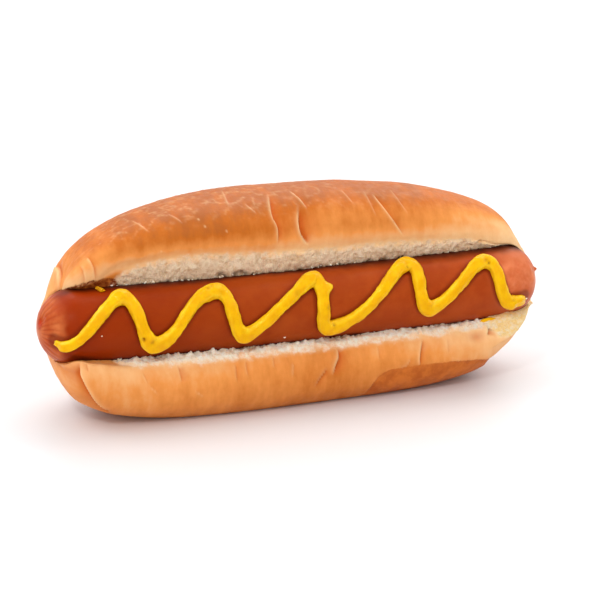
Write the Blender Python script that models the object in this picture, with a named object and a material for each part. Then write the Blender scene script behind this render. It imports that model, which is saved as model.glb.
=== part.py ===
"""A hot dog: a sliced, hinged bun folded round a frankfurter, with mustard piped along it.

Units are metres. X runs along the bun, the open side faces -Y and Z is up. The origin is on
the ground, under the middle of the whole.

Angles round the sausage are in degrees: 0 faces the open side, 90 is straight up, -90 is
straight down and -180 is the back.
"""

import math

import bpy
import bmesh
import numpy as np

MM = 0.001

# ---- sausage ----------------------------------------------------------------------------
SAUSAGE_LENGTH = 155.0 * MM
SAUSAGE_RADIUS = 11.35 * MM
SAUSAGE_SAG = 1.2 * MM            # the middle hangs this far below the two ends
AXIS_HEIGHT = 28.5 * MM           # middle line of the ends above the ground
SAUSAGE_BACKSET = -8.8 * MM       # middle line forward of the middle of the whole
SAUSAGE_SIDES = 28
SAUSAGE_RINGS = 30
SAUSAGE_TIP = 0.03                # radians from the pole of an end to its first ring

# ---- bun --------------------------------------------------------------------------------
CONTACT_GAP = 0.4 * MM            # between the crumb and the sausage
BUN_SIDES = 36                    # strips round the crust, and as many round the mouth
BUN_STATIONS = 42                 # slices along the length

# Crust at mid length as (y, z) in millimetres from the sausage's middle line: the lower half
# runs from its lip under the foot to the hinge, the upper half from the hinge to its lip.
LOWER_HALF = (
    (-11.9, -9.9), (-14.8, -13.6), (-16.0, -18.8), (-13.6, -24.4), (-7.4, -28.5),
    (2.0, -29.4), (12.6, -29.2), (21.0, -25.2), (25.8, -17.3), (27.4, -8.0), (26.2, 0.0),
)
UPPER_HALF = (
    (26.2, 0.0), (30.8, 6.0), (33.8, 14.0), (32.3, 22.0), (27.0, 29.0), (19.0, 32.8),
    (10.0, 33.5), (1.8, 31.2), (-2.8, 26.5), (-3.8, 21.5), (-2.0, 17.9),
)

# Where the crumb meets the sausage, from the left end at -1 to the right end at 1: angles of
# the two lips' crumb and of the hinge behind.
CONTACT = (
    (-1.00, -72.0, -218.0, 104.0), (-0.95, -32.0, -212.0, 86.0), (-0.87, -37.0, -202.0, 88.0),
    (-0.70, -52.0, -186.0, 90.0), (-0.35, -54.0, -176.0, 86.0), (0.00, -55.0, -172.0, 86.0),
    (0.35, -56.0, -172.0, 88.0), (0.70, -60.0, -178.0, 85.0), (0.90, -50.0, -188.0, 83.0),
    (1.00, -80.0, -196.0, 100.0),
)

# How the two ends close. Each row is a place round the crust, from 0 at the lower lip to 1 at
# the upper one, then the reach in millimetres, the squareness along the length (a power) and
# the bluntness of the last stretch (2 is round, 1 is pointed).
LEFT_END = (
    (0.00, 73.0, 4.2, 2.0), (0.12, 73.2, 4.0, 2.1), (0.25, 73.4, 3.6, 2.2),
    (0.40, 75.3, 4.2, 2.0), (0.50, 73.6, 3.6, 1.8), (0.62, 71.2, 3.2, 1.8),
    (0.80, 68.8, 2.75, 1.65), (1.00, 69.2, 3.0, 2.0),
)
RIGHT_END = (
    (0.00, 77.4, 5.7, 1.15), (0.12, 77.6, 6.1, 0.95), (0.25, 76.8, 5.9, 0.9),
    (0.40, 75.0, 3.6, 1.4), (0.50, 74.4, 2.8, 1.8), (0.62, 74.0, 2.4, 2.0),
    (0.80, 73.2, 2.1, 2.0), (1.00, 75.0, 1.8, 1.5),
)
LOWER_TAPER = 0.04                # the lower half is this much fuller at its left end
UPPER_LIP_LIFT = (                # (place from -1 to 1, millimetres): the lip isn't quite straight
    (-1.0, 0.0), (-0.7, 0.9), (-0.45, 1.3), (-0.15, 0.1), (0.1, -0.7), (0.5, -0.7), (1.0, -0.4),
)
UPPER_LIP_SHARE = 0.16            # the lift fades out this far round the crust
MOUTH_SQUARENESS = 6              # a power: how late the mouth closes towards its ends
LOWER_CRUMB_STRIPS = 3            # strips of crumb between each lip and the sausage
UPPER_CRUMB_STRIPS = 4

# The fold down the front of the lower half, near its left end.
FOLD_PLACE = -70.0 * MM
FOLD_LEAN = 5.0 * MM              # its foot stands this much nearer the middle
FOLD_DEPTH = 0.8 * MM
FOLD_WIDTH = 2.2 * MM
FOLD_SHARE = 0.24                 # it runs from the lip this far round the crust

# ---- mustard ----------------------------------------------------------------------------
BEAD_WIDTH = 3.7 * MM
BEAD_HEIGHT = 2.7 * MM
BEAD_GAP = 0.3 * MM               # between the bead and the sausage
BEAD_LEG_STEPS = 11               # rings from one turn of the route to the next
BEAD_END = 0.45                   # width of the first and last ring, as a share
BEAD_END_RINGS = 4                # rings over which the bead swells to its full width
BEAD_SECTION = (                  # shares of the width and the height, from the seat round
    (-0.32, 0.0), (-0.5, 0.32), (-0.42, 0.72), (-0.18, 0.97),
    (0.18, 0.97), (0.42, 0.72), (0.5, 0.32), (0.32, 0.0),
)

# The nozzle swings from turn to turn. Each row is a turn's place in millimetres along X, its
# angle round the sausage, then how the leg that follows it runs: how upright its middle is (0
# is slanted, 1 is upright, more leans back) and how much of its swing it makes early.
BEAD_TURNS = (
    (-74.2, -9.0, 0.0, 0.0), (-72.4, -11.5, -0.2, 0.15),
    (-54.6, 54.0, 0.3, -0.35), (-46.7, -15.5, 0.15, 0.25),
    (-26.6, 50.0, 0.4, -0.35), (-19.4, -14.8, -0.25, 0.0),
    (3.9, 53.5, 1.3, 0.3), (7.6, -17.8, -0.15, -0.5),
    (33.0, 61.0, 1.15, -0.15), (38.3, -7.5, -0.15, -0.25),
    (57.2, 49.5, 0.65, -0.05), (65.0, -14.0, 0.0, 0.0), (69.0, -13.5, 0.0, 0.0),
)

COLOURS = {                       # base colour, roughness
    "bun": ((0.62, 0.30, 0.11), 0.5),
    "sausage": ((0.34, 0.07, 0.02), 0.3),
    "mustard": ((0.95, 0.58, 0.01), 0.3),
}


# ---- curves -----------------------------------------------------------------------------
def smooth_curve(points, steps):
    """A Catmull-Rom curve through the points, with this many steps between two of them."""
    points = np.array(points, float)
    first = 2 * points[0] - points[1]
    last = 2 * points[-1] - points[-2]
    padded = np.vstack([first, points, last])
    t = np.linspace(0, 1, steps, endpoint=False)[:, None]
    pieces = []
    for a, b, c, d in zip(padded, padded[1:], padded[2:], padded[3:]):
        bend = (2 * a - 5 * b + 4 * c - d) * t ** 2 + (3 * b - a - 3 * c + d) * t ** 3
        pieces.append(0.5 * (2 * b + (c - a) * t + bend))
    pieces.append(points[-1:])
    return np.vstack(pieces)


def even_points(curve, count):
    """Points at even distances along a fine curve, both of its ends included."""
    steps = np.linalg.norm(np.diff(curve, axis=0), axis=1)
    along = np.concatenate([[0.0], np.cumsum(steps)])
    places = np.linspace(0.0, along[-1], count)
    return np.column_stack([np.interp(places, along, curve[:, k]) for k in range(curve.shape[1])])


def ease(x):
    x = np.clip(x, 0.0, 1.0)
    return x * x * (3 - 2 * x)


def rows_at(rows, place):
    """The columns of a table of rows (place, a, b, ...), read smoothly at these places."""
    fine = smooth_curve(rows, 8)
    return [np.interp(place, fine[:, 0], column) for column in fine[:, 1:].T]


# ---- sausage's form, which the bun and the mustard follow ----------------------------------
def sausage_radius(x):
    """A round bar with half-ball ends."""
    into_end = np.maximum(np.abs(x) - (SAUSAGE_LENGTH / 2 - SAUSAGE_RADIUS), 0.0)
    return np.sqrt(np.maximum(SAUSAGE_RADIUS ** 2 - into_end ** 2, 0.0))


def sausage_middle(x):
    """Height of the middle line over the ground."""
    return AXIS_HEIGHT - SAUSAGE_SAG * (1 - (2 * x / SAUSAGE_LENGTH) ** 2)


def round_the_sausage(x, angle, radius):
    """Points at this radius from the middle line."""
    turn = np.radians(angle)
    y = SAUSAGE_BACKSET - radius * np.cos(turn)
    z = sausage_middle(x) + radius * np.sin(turn)
    return np.stack(np.broadcast_arrays(x, y, z), axis=-1)


# ---- meshes -----------------------------------------------------------------------------
def add_object(name, vertices, faces):
    """A smooth-shaded object in its own material, with its faces turned outwards."""
    mesh = bpy.data.meshes.new(name)
    mesh.from_pydata([tuple(v) for v in vertices], [], faces)
    bm = bmesh.new()
    bm.from_mesh(mesh)
    bmesh.ops.recalc_face_normals(bm, faces=bm.faces)
    bm.to_mesh(mesh)
    bm.free()
    mesh.shade_smooth()
    mesh.set_sharp_from_angle(angle=math.radians(50))
    colour, roughness = COLOURS[name]
    material = bpy.data.materials.new(name)
    material.use_nodes = True
    shader = material.node_tree.nodes["Principled BSDF"]
    shader.inputs["Base Color"].default_value = (*colour, 1.0)
    shader.inputs["Roughness"].default_value = roughness
    mesh.materials.append(material)
    obj = bpy.data.objects.new(name, mesh)
    bpy.context.scene.collection.objects.link(obj)
    return obj


def tube_faces(rings, sides):
    """Quads round a closed tube whose rings follow each other, and a flat cap at each end."""
    faces = []
    for i in range(rings - 1):
        for j in range(sides):
            k = (j + 1) % sides
            faces.append((i * sides + j, i * sides + k, (i + 1) * sides + k, (i + 1) * sides + j))
    faces.append(tuple(range(sides)))
    faces.append(tuple(range((rings - 1) * sides, rings * sides)))
    return faces


# ---- bun --------------------------------------------------------------------------------
def crust_at_mid_length():
    """The crust's outline, from lip to lip, as metres from the sausage's middle line."""
    half = BUN_SIDES // 2
    lower = even_points(smooth_curve(LOWER_HALF, 12), half + 1)
    upper = even_points(smooth_curve(UPPER_HALF, 12), half + 1)
    return np.vstack([lower, upper[1:]]) * MM


def contact_angles(share, u):
    """Angles at which the crumb, from lip to lip, lies round the sausage."""
    low, hinge, high = rows_at(CONTACT, u)
    turned_low = low + (hinge - low) * share * 2
    turned_high = hinge + (high - 360 - hinge) * (share * 2 - 1)
    return np.where(share < 0.5, turned_low, turned_high), low, high - 360


def fold(x, share):
    """Depth of the fold near the left end, which fades out below."""
    middle = FOLD_PLACE + FOLD_LEAN * share / FOLD_SHARE
    fade = 1 - ease(share / FOLD_SHARE)
    return FOLD_DEPTH * np.exp(-((x - middle) / FOLD_WIDTH) ** 2) * fade


def bun_slice(u, outline):
    """The crust's and the mouth's points at a station, where u runs from -1 to 1."""
    share = np.linspace(0.0, 1.0, BUN_SIDES + 1)
    strip = np.arange(BUN_SIDES + 1)
    reach, square, blunt = rows_at(LEFT_END if u < 0 else RIGHT_END, share)
    x = u * reach * MM
    full = np.maximum(1 - abs(u) ** square, 0.0) ** (1 / blunt)
    radius = sausage_radius(x) + CONTACT_GAP
    angles, low, high = contact_angles(share, u)

    mid_angles, _, _ = contact_angles(share, 0.0)
    turn = np.radians(mid_angles)
    mid_radius = SAUSAGE_RADIUS + CONTACT_GAP
    thickness = outline - mid_radius * np.column_stack([-np.cos(turn), np.sin(turn)])
    fuller = np.where(share < 0.5, 1 - LOWER_TAPER * u, 1.0)
    scale = (full * fuller)[:, None]
    crust = round_the_sausage(x, angles, radius)
    crust[:, 1:] += thickness * scale
    outward = thickness / np.linalg.norm(thickness, axis=1)[:, None]
    crust[:, 1:] -= outward * (fold(x, share) * full)[:, None]
    crust[:, 2] += rows_at(UPPER_LIP_LIFT, u)[0] * MM * ease(1 - (1 - share) / UPPER_LIP_SHARE)
    crust[:, 2] = np.maximum(crust[:, 2], 0.0)

    last_strip = BUN_SIDES - UPPER_CRUMB_STRIPS
    along_contact = (strip - LOWER_CRUMB_STRIPS) / (last_strip - LOWER_CRUMB_STRIPS)
    inner = low + (high - low) * np.clip(along_contact, 0.0, 1.0)
    open_here = math.sqrt(1 - min(abs(u), 1.0) ** MOUTH_SQUARENESS)
    mouth = round_the_sausage(x, angles + (inner - angles) * open_here, radius)
    from_low = np.clip(1 - strip / LOWER_CRUMB_STRIPS, 0.0, 1.0)
    from_high = np.clip((strip - last_strip) / UPPER_CRUMB_STRIPS, 0.0, 1.0)
    to_lip = (np.outer(from_low, (crust[0] - mouth[0])[1:])
              + np.outer(from_high, (crust[-1] - mouth[-1])[1:]))
    mouth[:, 1:] += to_lip
    return crust, mouth


def make_bun():
    """Two sheets, the crust and the mouth that holds the sausage, joined all along the rim."""
    outline = crust_at_mid_length()
    stations = np.sin(np.linspace(-math.pi / 2, math.pi / 2, BUN_STATIONS + 1))
    slices = [bun_slice(u, outline) for u in stations]
    vertices = []
    crust_ids, mouth_ids = {}, {}
    for i, (crust, mouth) in enumerate(slices):
        for j in range(BUN_SIDES + 1):
            crust_ids[i, j] = mouth_ids[i, j] = len(vertices)
            vertices.append(crust[j])
            if 0 < i < BUN_STATIONS and 0 < j < BUN_SIDES:
                mouth_ids[i, j] = len(vertices)
                vertices.append(mouth[j])
    faces = []
    for i in range(BUN_STATIONS):
        for j in range(BUN_SIDES):
            for ids, order in ((crust_ids, 1), (mouth_ids, -1)):
                quad = (ids[i, j], ids[i + 1, j], ids[i + 1, j + 1], ids[i, j + 1])
                faces.append(quad[::order])
    return add_object("bun", vertices, faces)


# ---- sausage ----------------------------------------------------------------------------
def make_sausage():
    turns = np.linspace(SAUSAGE_TIP, math.pi - SAUSAGE_TIP, SAUSAGE_RINGS)
    stations = -np.cos(turns) * SAUSAGE_LENGTH / 2
    angles = np.arange(SAUSAGE_SIDES) * 360.0 / SAUSAGE_SIDES
    rings = [round_the_sausage(np.full(SAUSAGE_SIDES, x), angles, sausage_radius(x))
             for x in stations]
    return add_object("sausage", np.vstack(rings), tube_faces(len(rings), SAUSAGE_SIDES))


# ---- mustard ----------------------------------------------------------------------------
def bead_route():
    """Places along X in metres and angles, leg by leg."""
    t = np.linspace(0, 1, BEAD_LEG_STEPS, endpoint=False)
    places, angles = [], []
    for (x, angle, upright, early), (next_x, next_angle, _, _) in zip(BEAD_TURNS, BEAD_TURNS[1:]):
        swing = ease(t)
        swing = swing + early * swing * (1 - swing)
        places.append(x + (next_x - x) * (t + upright * np.sin(2 * math.pi * t) / (2 * math.pi)))
        angles.append(angle + (next_angle - angle) * swing)
    end_x, end_angle, _, _ = BEAD_TURNS[-1]
    return np.append(places, end_x) * MM, np.append(angles, end_angle)


def bead_ring(x, angle, forward, share):
    """The bead's section at a point of the route, seated just above the sausage's skin."""
    seat = bead_seat(x, angle)
    nudge = 0.01 * MM
    along = bead_seat(x + nudge, angle) - seat
    turn = math.radians(angle)
    around = np.array([0.0, math.sin(turn), math.cos(turn)])
    up = np.cross(along / np.linalg.norm(along), around)
    side = np.cross(up, forward)
    side /= np.linalg.norm(side)
    return [seat + side * across * BEAD_WIDTH * share + up * high * BEAD_HEIGHT * share
            for across, high in BEAD_SECTION]


def bead_seat(x, angle):
    return round_the_sausage(x, angle, sausage_radius(x) + BEAD_GAP)


def make_mustard():
    """A round-backed bead along the route, thinner at its two ends."""
    places, angles = bead_route()
    forward = np.gradient(bead_seat(places, angles), axis=0)
    rings = []
    for k, (x, angle, ahead) in enumerate(zip(places, angles, forward)):
        into = min(k, len(places) - 1 - k) / BEAD_END_RINGS
        rings.append(bead_ring(x, angle, ahead, BEAD_END + (1 - BEAD_END) * ease(into)))
    return add_object("mustard", np.vstack(rings), tube_faces(len(rings), len(BEAD_SECTION)))


def main():
    for obj in list(bpy.data.objects):
        bpy.data.objects.remove(obj, do_unlink=True)
    make_bun()
    make_sausage()
    make_mustard()


main()
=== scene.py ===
"""The looks of a hot dog: a sliced bun folded round a frankfurter, with mustard piped along it.

Metres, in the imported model's own frame: X runs along the bun, the open side faces -Y and Z is
up. Angles round the sausage are in degrees: 0 faces the open side, 90 is straight up, -90 is
straight down and -180 is the back. Places on the bun's crust are given as millimetres along X
and millimetres round from the nearer lip.
"""

import math
import random

import bpy
import numpy as np
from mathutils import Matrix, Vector, kdtree, noise


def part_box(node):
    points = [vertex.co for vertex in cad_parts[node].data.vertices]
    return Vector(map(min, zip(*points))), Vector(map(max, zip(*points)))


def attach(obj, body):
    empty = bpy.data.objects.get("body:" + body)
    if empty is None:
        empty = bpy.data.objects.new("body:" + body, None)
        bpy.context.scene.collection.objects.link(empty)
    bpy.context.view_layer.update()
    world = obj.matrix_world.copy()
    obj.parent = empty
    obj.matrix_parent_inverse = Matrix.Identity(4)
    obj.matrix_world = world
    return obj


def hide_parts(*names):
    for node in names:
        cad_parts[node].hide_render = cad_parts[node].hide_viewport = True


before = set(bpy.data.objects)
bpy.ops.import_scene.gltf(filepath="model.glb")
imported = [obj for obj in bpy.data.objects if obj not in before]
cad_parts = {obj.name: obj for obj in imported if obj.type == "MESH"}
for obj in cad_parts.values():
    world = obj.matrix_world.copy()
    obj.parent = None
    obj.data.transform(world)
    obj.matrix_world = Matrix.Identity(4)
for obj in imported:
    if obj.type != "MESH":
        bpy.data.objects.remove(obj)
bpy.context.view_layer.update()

MM = 0.001
SEED = 7

# ---- sizes
# The solids are worked out from these too. The right end, the upper lip's lift and the bead's
# turns are a millimetre or so nearer to the real thing here, and END_RADIUS is the scene's own.
SAUSAGE_LOW, SAUSAGE_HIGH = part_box("sausage")
SAUSAGE_SAG = 1.2 * MM
SAUSAGE_LENGTH = 155.0 * MM
SAUSAGE_RADIUS = (SAUSAGE_HIGH.y - SAUSAGE_LOW.y) / 2
SAUSAGE_BACKSET = (SAUSAGE_HIGH.y + SAUSAGE_LOW.y) / 2
AXIS_HEIGHT = 28.5 * MM
CONTACT_GAP = 0.4 * MM

# The crust's section at mid length, in millimetres back and up from the sausage's axis: from the
# lower lip under the sausage to the hinge, and on over the top to the upper lip.
LOWER_HALF = (
    (-11.9, -9.9), (-14.8, -13.6), (-16, -18.8), (-13.6, -24.4), (-7.4, -28.5),
    (2, -29.4), (12.6, -29.2), (21, -25.2), (25.8, -17.3), (27.4, -8), (26.2, 0),
)
UPPER_HALF = (
    (26.2, 0), (30.8, 6), (33.8, 14), (32.3, 22), (27, 29), (19, 32.8),
    (10, 33.5), (1.8, 31.2), (-2.8, 26.5), (-3.8, 21.5), (-2, 17.9),
)
# Where the bread lies on the sausage: a place along the bun from -1 to 1, and there the angles of
# the bread's lower edge, its hinge and its upper edge.
CONTACT = (
    (-1, -72, -218, 104), (-0.95, -32, -212, 86), (-0.87, -37, -202, 88),
    (-0.7, -52, -186, 90), (-0.35, -54, -176, 86), (0, -55, -172, 86),
    (0.35, -56, -172, 88), (0.7, -60, -178, 85), (0.9, -50, -188, 83),
    (1, -80, -196, 100),
)
# The bun's two ends, at shares of the way from lip to lip: how many millimetres each reaches from
# the middle, and how square and how blunt it is.
LEFT_END = (
    (0, 73, 4.2, 2), (0.12, 73.2, 4, 2.1), (0.25, 73.4, 3.6, 2.2),
    (0.4, 75.3, 4.2, 2), (0.5, 73.6, 3.6, 1.8), (0.62, 72, 3.2, 1.8),
    (0.8, 68.8, 2.75, 1.65), (1, 69.2, 3, 2),
)
RIGHT_END = (
    (0, 77.4, 6, 1.25), (0.12, 77.4, 6.1, 0.95), (0.25, 76.8, 5.9, 0.9),
    (0.4, 75, 3.6, 1.4), (0.5, 74.4, 2.8, 1.8), (0.62, 74, 2.4, 2),
    (0.8, 73.6, 2.1, 2), (0.93, 74.6, 2.1, 1.7), (1, 75.6, 2.2, 1.5),
)
# How steeply the right end is cut away below, along its front and foot: share, slope.
RIGHT_SLOPE = ((0, 7), (0.06, 3.3), (0.28, 3.3), (0.4, 12))
END_RADIUS = 8.0 * MM  # the bread keeps this far from the sausage's axis at its ends
LOWER_TAPER = 0.04
# How many millimetres the upper lip is lifted, from the left end to the right.
UPPER_LIP_LIFT = (
    (-1, 0), (-0.7, 0.9), (-0.45, 1.3), (-0.15, 0.1), (0.1, -0.7), (0.5, -0.7),
    (0.9, -0.5), (1, 0),
)
UPPER_LIP_SHARE = 0.16  # share of the outline that is lifted with it
MOUTH_SQUARENESS = 6
OUTLINE_STEPS = 18  # the outline's points to a half, as the solids have them
LOWER_CRUMB = 3 / 36  # share of the mouth between the lower lip and the sausage
UPPER_CRUMB = 4 / 36
LOWER_BAND = 5.2  # millimetres of crumb from the lip to the sausage
UPPER_BAND = 6.3
FOLD_PLACE = -70.0 * MM
FOLD_LEAN = 5.0 * MM
FOLD_DEPTH = 0.8 * MM
FOLD_WIDTH = 2.2 * MM
FOLD_SHARE = 0.24

TIP_PLACE = 77.5  # millimetres from the middle to a tip, where CONTACT has 1

BEAD_WIDTH = 3.95 * MM
BEAD_HEIGHT = 3.0 * MM
# Where the nozzle starts, turns back and stops: x, angle, how upright the limb from there to the
# next stands at its middle, and how early it swings over.
BEAD_TURNS = (
    (-74.2, -9, 0, 0), (-72.4, -12, -0.2, 0),
    (-54.6, 54, 0.3, -0.4), (-46.5, -16.5, 0.15, 0.3),
    (-26.3, 50, 0.4, -0.6), (-19.4, -15, -0.25, -0.02),
    (4.1, 53.5, 1.5, 0.3), (6.5, -18.2, -0.15, -0.6),
    (33.6, 61, 1.15, -0.5), (38.3, -7.5, -0.15, -0.2),
    (57.4, 49.8, 0.65, -0.3), (65.2, -14.5, 0, 0), (69.8, -14.5, 0, 0),
)


# ---- curves and noise
def smooth_curve(points, steps):
    """A Catmull-Rom curve through the points, with this many steps between two of them."""
    points = np.array(points, float)
    padded = np.vstack([2 * points[0] - points[1], points, 2 * points[-1] - points[-2]])
    t = np.linspace(0, 1, steps, endpoint=False)[:, None]
    pieces = []
    for a, b, c, d in zip(padded, padded[1:], padded[2:], padded[3:]):
        bend = (2 * a - 5 * b + 4 * c - d) * t ** 2 + (3 * b - a - 3 * c + d) * t ** 3
        pieces.append(0.5 * (2 * b + (c - a) * t + bend))
    pieces.append(points[-1:])
    return np.vstack(pieces)


def even_points(curve, count):
    along = np.concatenate([[0.0], np.cumsum(np.linalg.norm(np.diff(curve, axis=0), axis=1))])
    places = np.linspace(0.0, along[-1], count)
    return np.column_stack([np.interp(places, along, column) for column in curve.T])


def ease(x):
    x = np.clip(x, 0.0, 1.0)
    return x * x * (3 - 2 * x)


def look_up(table, place, column=1):
    """A column of a table, read straight between its rows."""
    rows = np.array(table)
    return np.interp(place, rows[:, 0], rows[:, column])


def rows_at(rows, place):
    """All columns of a table after its first, read on a smooth curve through its rows."""
    fine = smooth_curve(rows, 8)
    return [np.interp(place, fine[:, 0], column) for column in fine[:, 1:].T]


def bumps(points, size, octaves=1, shift=0.0):
    """Smooth noise from about -1 to 1 at these points, with lumps of this size in metres."""
    start = Vector((shift + SEED, 3.1 * shift, 1.7 * shift))
    if octaves == 1:
        return np.array([noise.noise(Vector(p) / size + start) for p in points])
    return np.array([noise.fractal(Vector(p) / size + start, 0.8, 2.1, octaves) for p in points])


def gauss(distance, width):
    return np.exp(-(distance / width) ** 2)


# ---- working on pieces
def deselect_all():
    bpy.ops.object.select_all(action="DESELECT")


def edit(piece):
    deselect_all()
    piece.select_set(True)
    bpy.context.view_layer.objects.active = piece
    bpy.ops.object.mode_set(mode="EDIT")


def stop_editing():
    bpy.ops.object.mode_set(mode="OBJECT")


def each(things, name, width=3):
    """A property of all vertices, faces or corners of a mesh, a row for each."""
    values = np.empty(len(things) * width)
    things.foreach_get(name, values)
    return values.reshape(-1, width)


def corners(piece):
    return each(piece.data.vertices, "co")


def outward(piece):
    return each(piece.data.vertices, "normal")


def move_corners(piece, places):
    piece.data.vertices.foreach_set("co", np.ascontiguousarray(places, float).ravel())
    piece.data.update()


def paint(piece, **masks):
    """Keeps a value from 0 to 1 for each vertex under each name, for a material to read."""
    for name, values in masks.items():
        layer = piece.data.attributes.new(name, "FLOAT", "POINT")
        layer.data.foreach_set("value", np.clip(values, 0.0, 1.0).astype(np.float32))


def finish(piece, material):
    bpy.ops.object.shade_smooth()
    piece.data.materials.append(bpy.data.materials.new(material))
    return piece


def read(piece, name):
    return each(piece.data.attributes[name].data, "value", 1)[:, 0].astype(np.float32)


def enclosed(piece):
    """The volume inside a closed piece, which is below 0 where its faces point inward."""
    faces = piece.data.polygons
    facing = (each(faces, "center") * each(faces, "normal")).sum(axis=1)
    return facing @ each(faces, "area", 1)[:, 0] / 3


def weld(piece, distance=0.002 * MM):
    """Merges the corners that coincide, and points all faces outward."""
    edit(piece)
    bpy.ops.mesh.select_all(action="SELECT")
    bpy.ops.mesh.remove_doubles(threshold=distance)
    bpy.ops.mesh.normals_make_consistent(inside=False)
    stop_editing()
    if enclosed(piece) < 0:
        edit(piece)
        bpy.ops.mesh.flip_normals()
        stop_editing()


def sheet(name, along, across):
    """A flat grid of faces: its vertices, column by column, and their shares in both directions."""
    deselect_all()
    bpy.ops.mesh.primitive_grid_add(x_subdivisions=along, y_subdivisions=across, size=2)
    piece = bpy.context.object
    piece.name = name
    flat = corners(piece)
    return piece, (flat[:, 0] + 1) / 2, (flat[:, 1] + 1) / 2


def join(name, pieces):
    deselect_all()
    for piece in pieces:
        piece.select_set(True)
    bpy.context.view_layer.objects.active = pieces[0]
    bpy.ops.object.join()
    pieces[0].name = name
    return pieces[0]


# ---- sausage's form
def sausage_radius(x):
    into_end = np.maximum(np.abs(x) - (SAUSAGE_LENGTH / 2 - SAUSAGE_RADIUS), 0.0)
    return np.sqrt(np.maximum(SAUSAGE_RADIUS ** 2 - into_end ** 2, 0.0))


def bed_radius(x):
    return np.maximum(sausage_radius(x), END_RADIUS) + CONTACT_GAP


def sausage_middle(x):
    return AXIS_HEIGHT - SAUSAGE_SAG * (1 - (2 * x / SAUSAGE_LENGTH) ** 2)


def round_the_sausage(x, angle, radius):
    turn = np.radians(angle)
    y = SAUSAGE_BACKSET - radius * np.cos(turn)
    z = sausage_middle(x) + radius * np.sin(turn)
    return np.stack(np.broadcast_arrays(x, y, z), axis=-1)


def round_the_axis(places):
    """The radians and the radius at which places lie round the sausage's axis."""
    back, up = places[:, 1] - SAUSAGE_BACKSET, places[:, 2] - sausage_middle(places[:, 0])
    return np.arctan2(up, -back), np.hypot(back, up)


def on_the_skin(x, angle, height=0.0):
    """The point at x, in millimetres, and an angle that lies this high above the skin."""
    x = x * MM
    return round_the_sausage(x, angle, sausage_radius(x) + height)


def millimetres_off(places, point):
    return np.linalg.norm(places - point, axis=1) / MM


# ---- bun's form
OUTLINE = np.vstack([
    even_points(smooth_curve(LOWER_HALF, 12), OUTLINE_STEPS + 1),
    even_points(smooth_curve(UPPER_HALF, 12), OUTLINE_STEPS + 1)[1:],
]) * MM
OUTLINE_LENGTH = np.linalg.norm(np.diff(OUTLINE, axis=0), axis=1).sum()


def contact_angles(share, u):
    """The angle at which each share of the outline meets the sausage, and its two edges'."""
    low, hinge, high = rows_at(CONTACT, u)
    turned_low = low + (hinge - low) * share * 2
    turned_high = hinge + (high - 360 - hinge) * (share * 2 - 1)
    return np.where(share < 0.5, turned_low, turned_high), low, high - 360


def outline_at(share):
    """The crust's section at mid length, read smoothly at these shares from lip to lip."""
    strips = np.arange(len(OUTLINE)) / (len(OUTLINE) - 1)
    return np.column_stack(rows_at(np.column_stack([strips, OUTLINE]), share))


def crust_points(u, share):
    """Points of the crust at a station u from -1 to 1, at these shares from lip to lip."""
    reach, square, blunt = rows_at(LEFT_END if u < 0 else RIGHT_END, share)
    x = u * reach * MM
    full = np.maximum(1 - abs(u) ** square, 0.0) ** (1 / blunt)
    if u > 0:
        full = np.minimum(full, (1 - u) * look_up(RIGHT_SLOPE, share))
    angles, _, _ = contact_angles(share, u)
    mid_angles, _, _ = contact_angles(share, 0.0)
    turn = np.radians(mid_angles)
    mid_radius = SAUSAGE_RADIUS + CONTACT_GAP
    thickness = outline_at(share) - mid_radius * np.column_stack([-np.cos(turn), np.sin(turn)])
    fuller = np.where(share < 0.5, 1 - LOWER_TAPER * u, 1.0)
    crust = round_the_sausage(x, angles, bed_radius(x))
    crust[:, 1:] += thickness * (full * fuller)[:, None]
    away = thickness / np.linalg.norm(thickness, axis=1)[:, None]
    fold = FOLD_DEPTH * gauss(x - FOLD_PLACE - FOLD_LEAN * share / FOLD_SHARE, FOLD_WIDTH)
    crust[:, 1:] -= away * (fold * full * (1 - ease(share / FOLD_SHARE)))[:, None]
    crust[:, 2] += rows_at(UPPER_LIP_LIFT, u)[0] * MM * ease(1 - (1 - share) / UPPER_LIP_SHARE)
    crust[:, 2] = np.maximum(crust[:, 2], 0.0)
    return crust


def mouth_points(u, share):
    """Points of the mouth: crumb from each lip to the sausage, and the bed that holds it."""
    reach, _, _ = rows_at(LEFT_END if u < 0 else RIGHT_END, share)
    x = u * reach * MM
    angles, low, high = contact_angles(share, u)
    bed = np.clip((share - LOWER_CRUMB) / (1 - UPPER_CRUMB - LOWER_CRUMB), 0.0, 1.0)
    inner = low + (high - low) * bed
    open_here = math.sqrt(1 - min(abs(u), 1.0) ** MOUTH_SQUARENESS)
    mouth = round_the_sausage(x, angles + (inner - angles) * open_here, bed_radius(x))
    lips = crust_points(u, np.array([0.0, 1.0]))
    from_low = np.clip(1 - share / LOWER_CRUMB, 0.0, 1.0)
    from_high = np.clip((share - 1) / UPPER_CRUMB + 1, 0.0, 1.0)
    mouth[:, 1:] += (np.outer(from_low, (lips[0] - mouth[0])[1:])
                     + np.outer(from_high, (lips[1] - mouth[-1])[1:]))
    return mouth


# ---- bun
BUN_STATIONS = 590
END_CROWDING = 0.5  # how much closer together the slices are at the two ends
CRUST_STRIPS = 124
MOUTH_STRIPS = 43
# Size of the crust's strips as (share from lip to lip, millimetres), and the mouth's alike.
CRUST_STRIP_SIZES = ((0, 0.65), (0.12, 0.75), (0.18, 1.4), (0.25, 2.4), (0.62, 2.4), (0.7, 1.5),
                     (0.76, 0.85), (1, 0.65))
MOUTH_STRIP_SIZES = ((0, 0.35), (0.095, 0.35), (0.13, 3), (0.84, 3), (0.877, 0.35),
                     (1, 0.35))
LIP_ROUND = 0.9  # millimetres each side of a lip that are rounded over
LIP_ROUND_END = 70  # and how far from the middle that goes on


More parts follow.
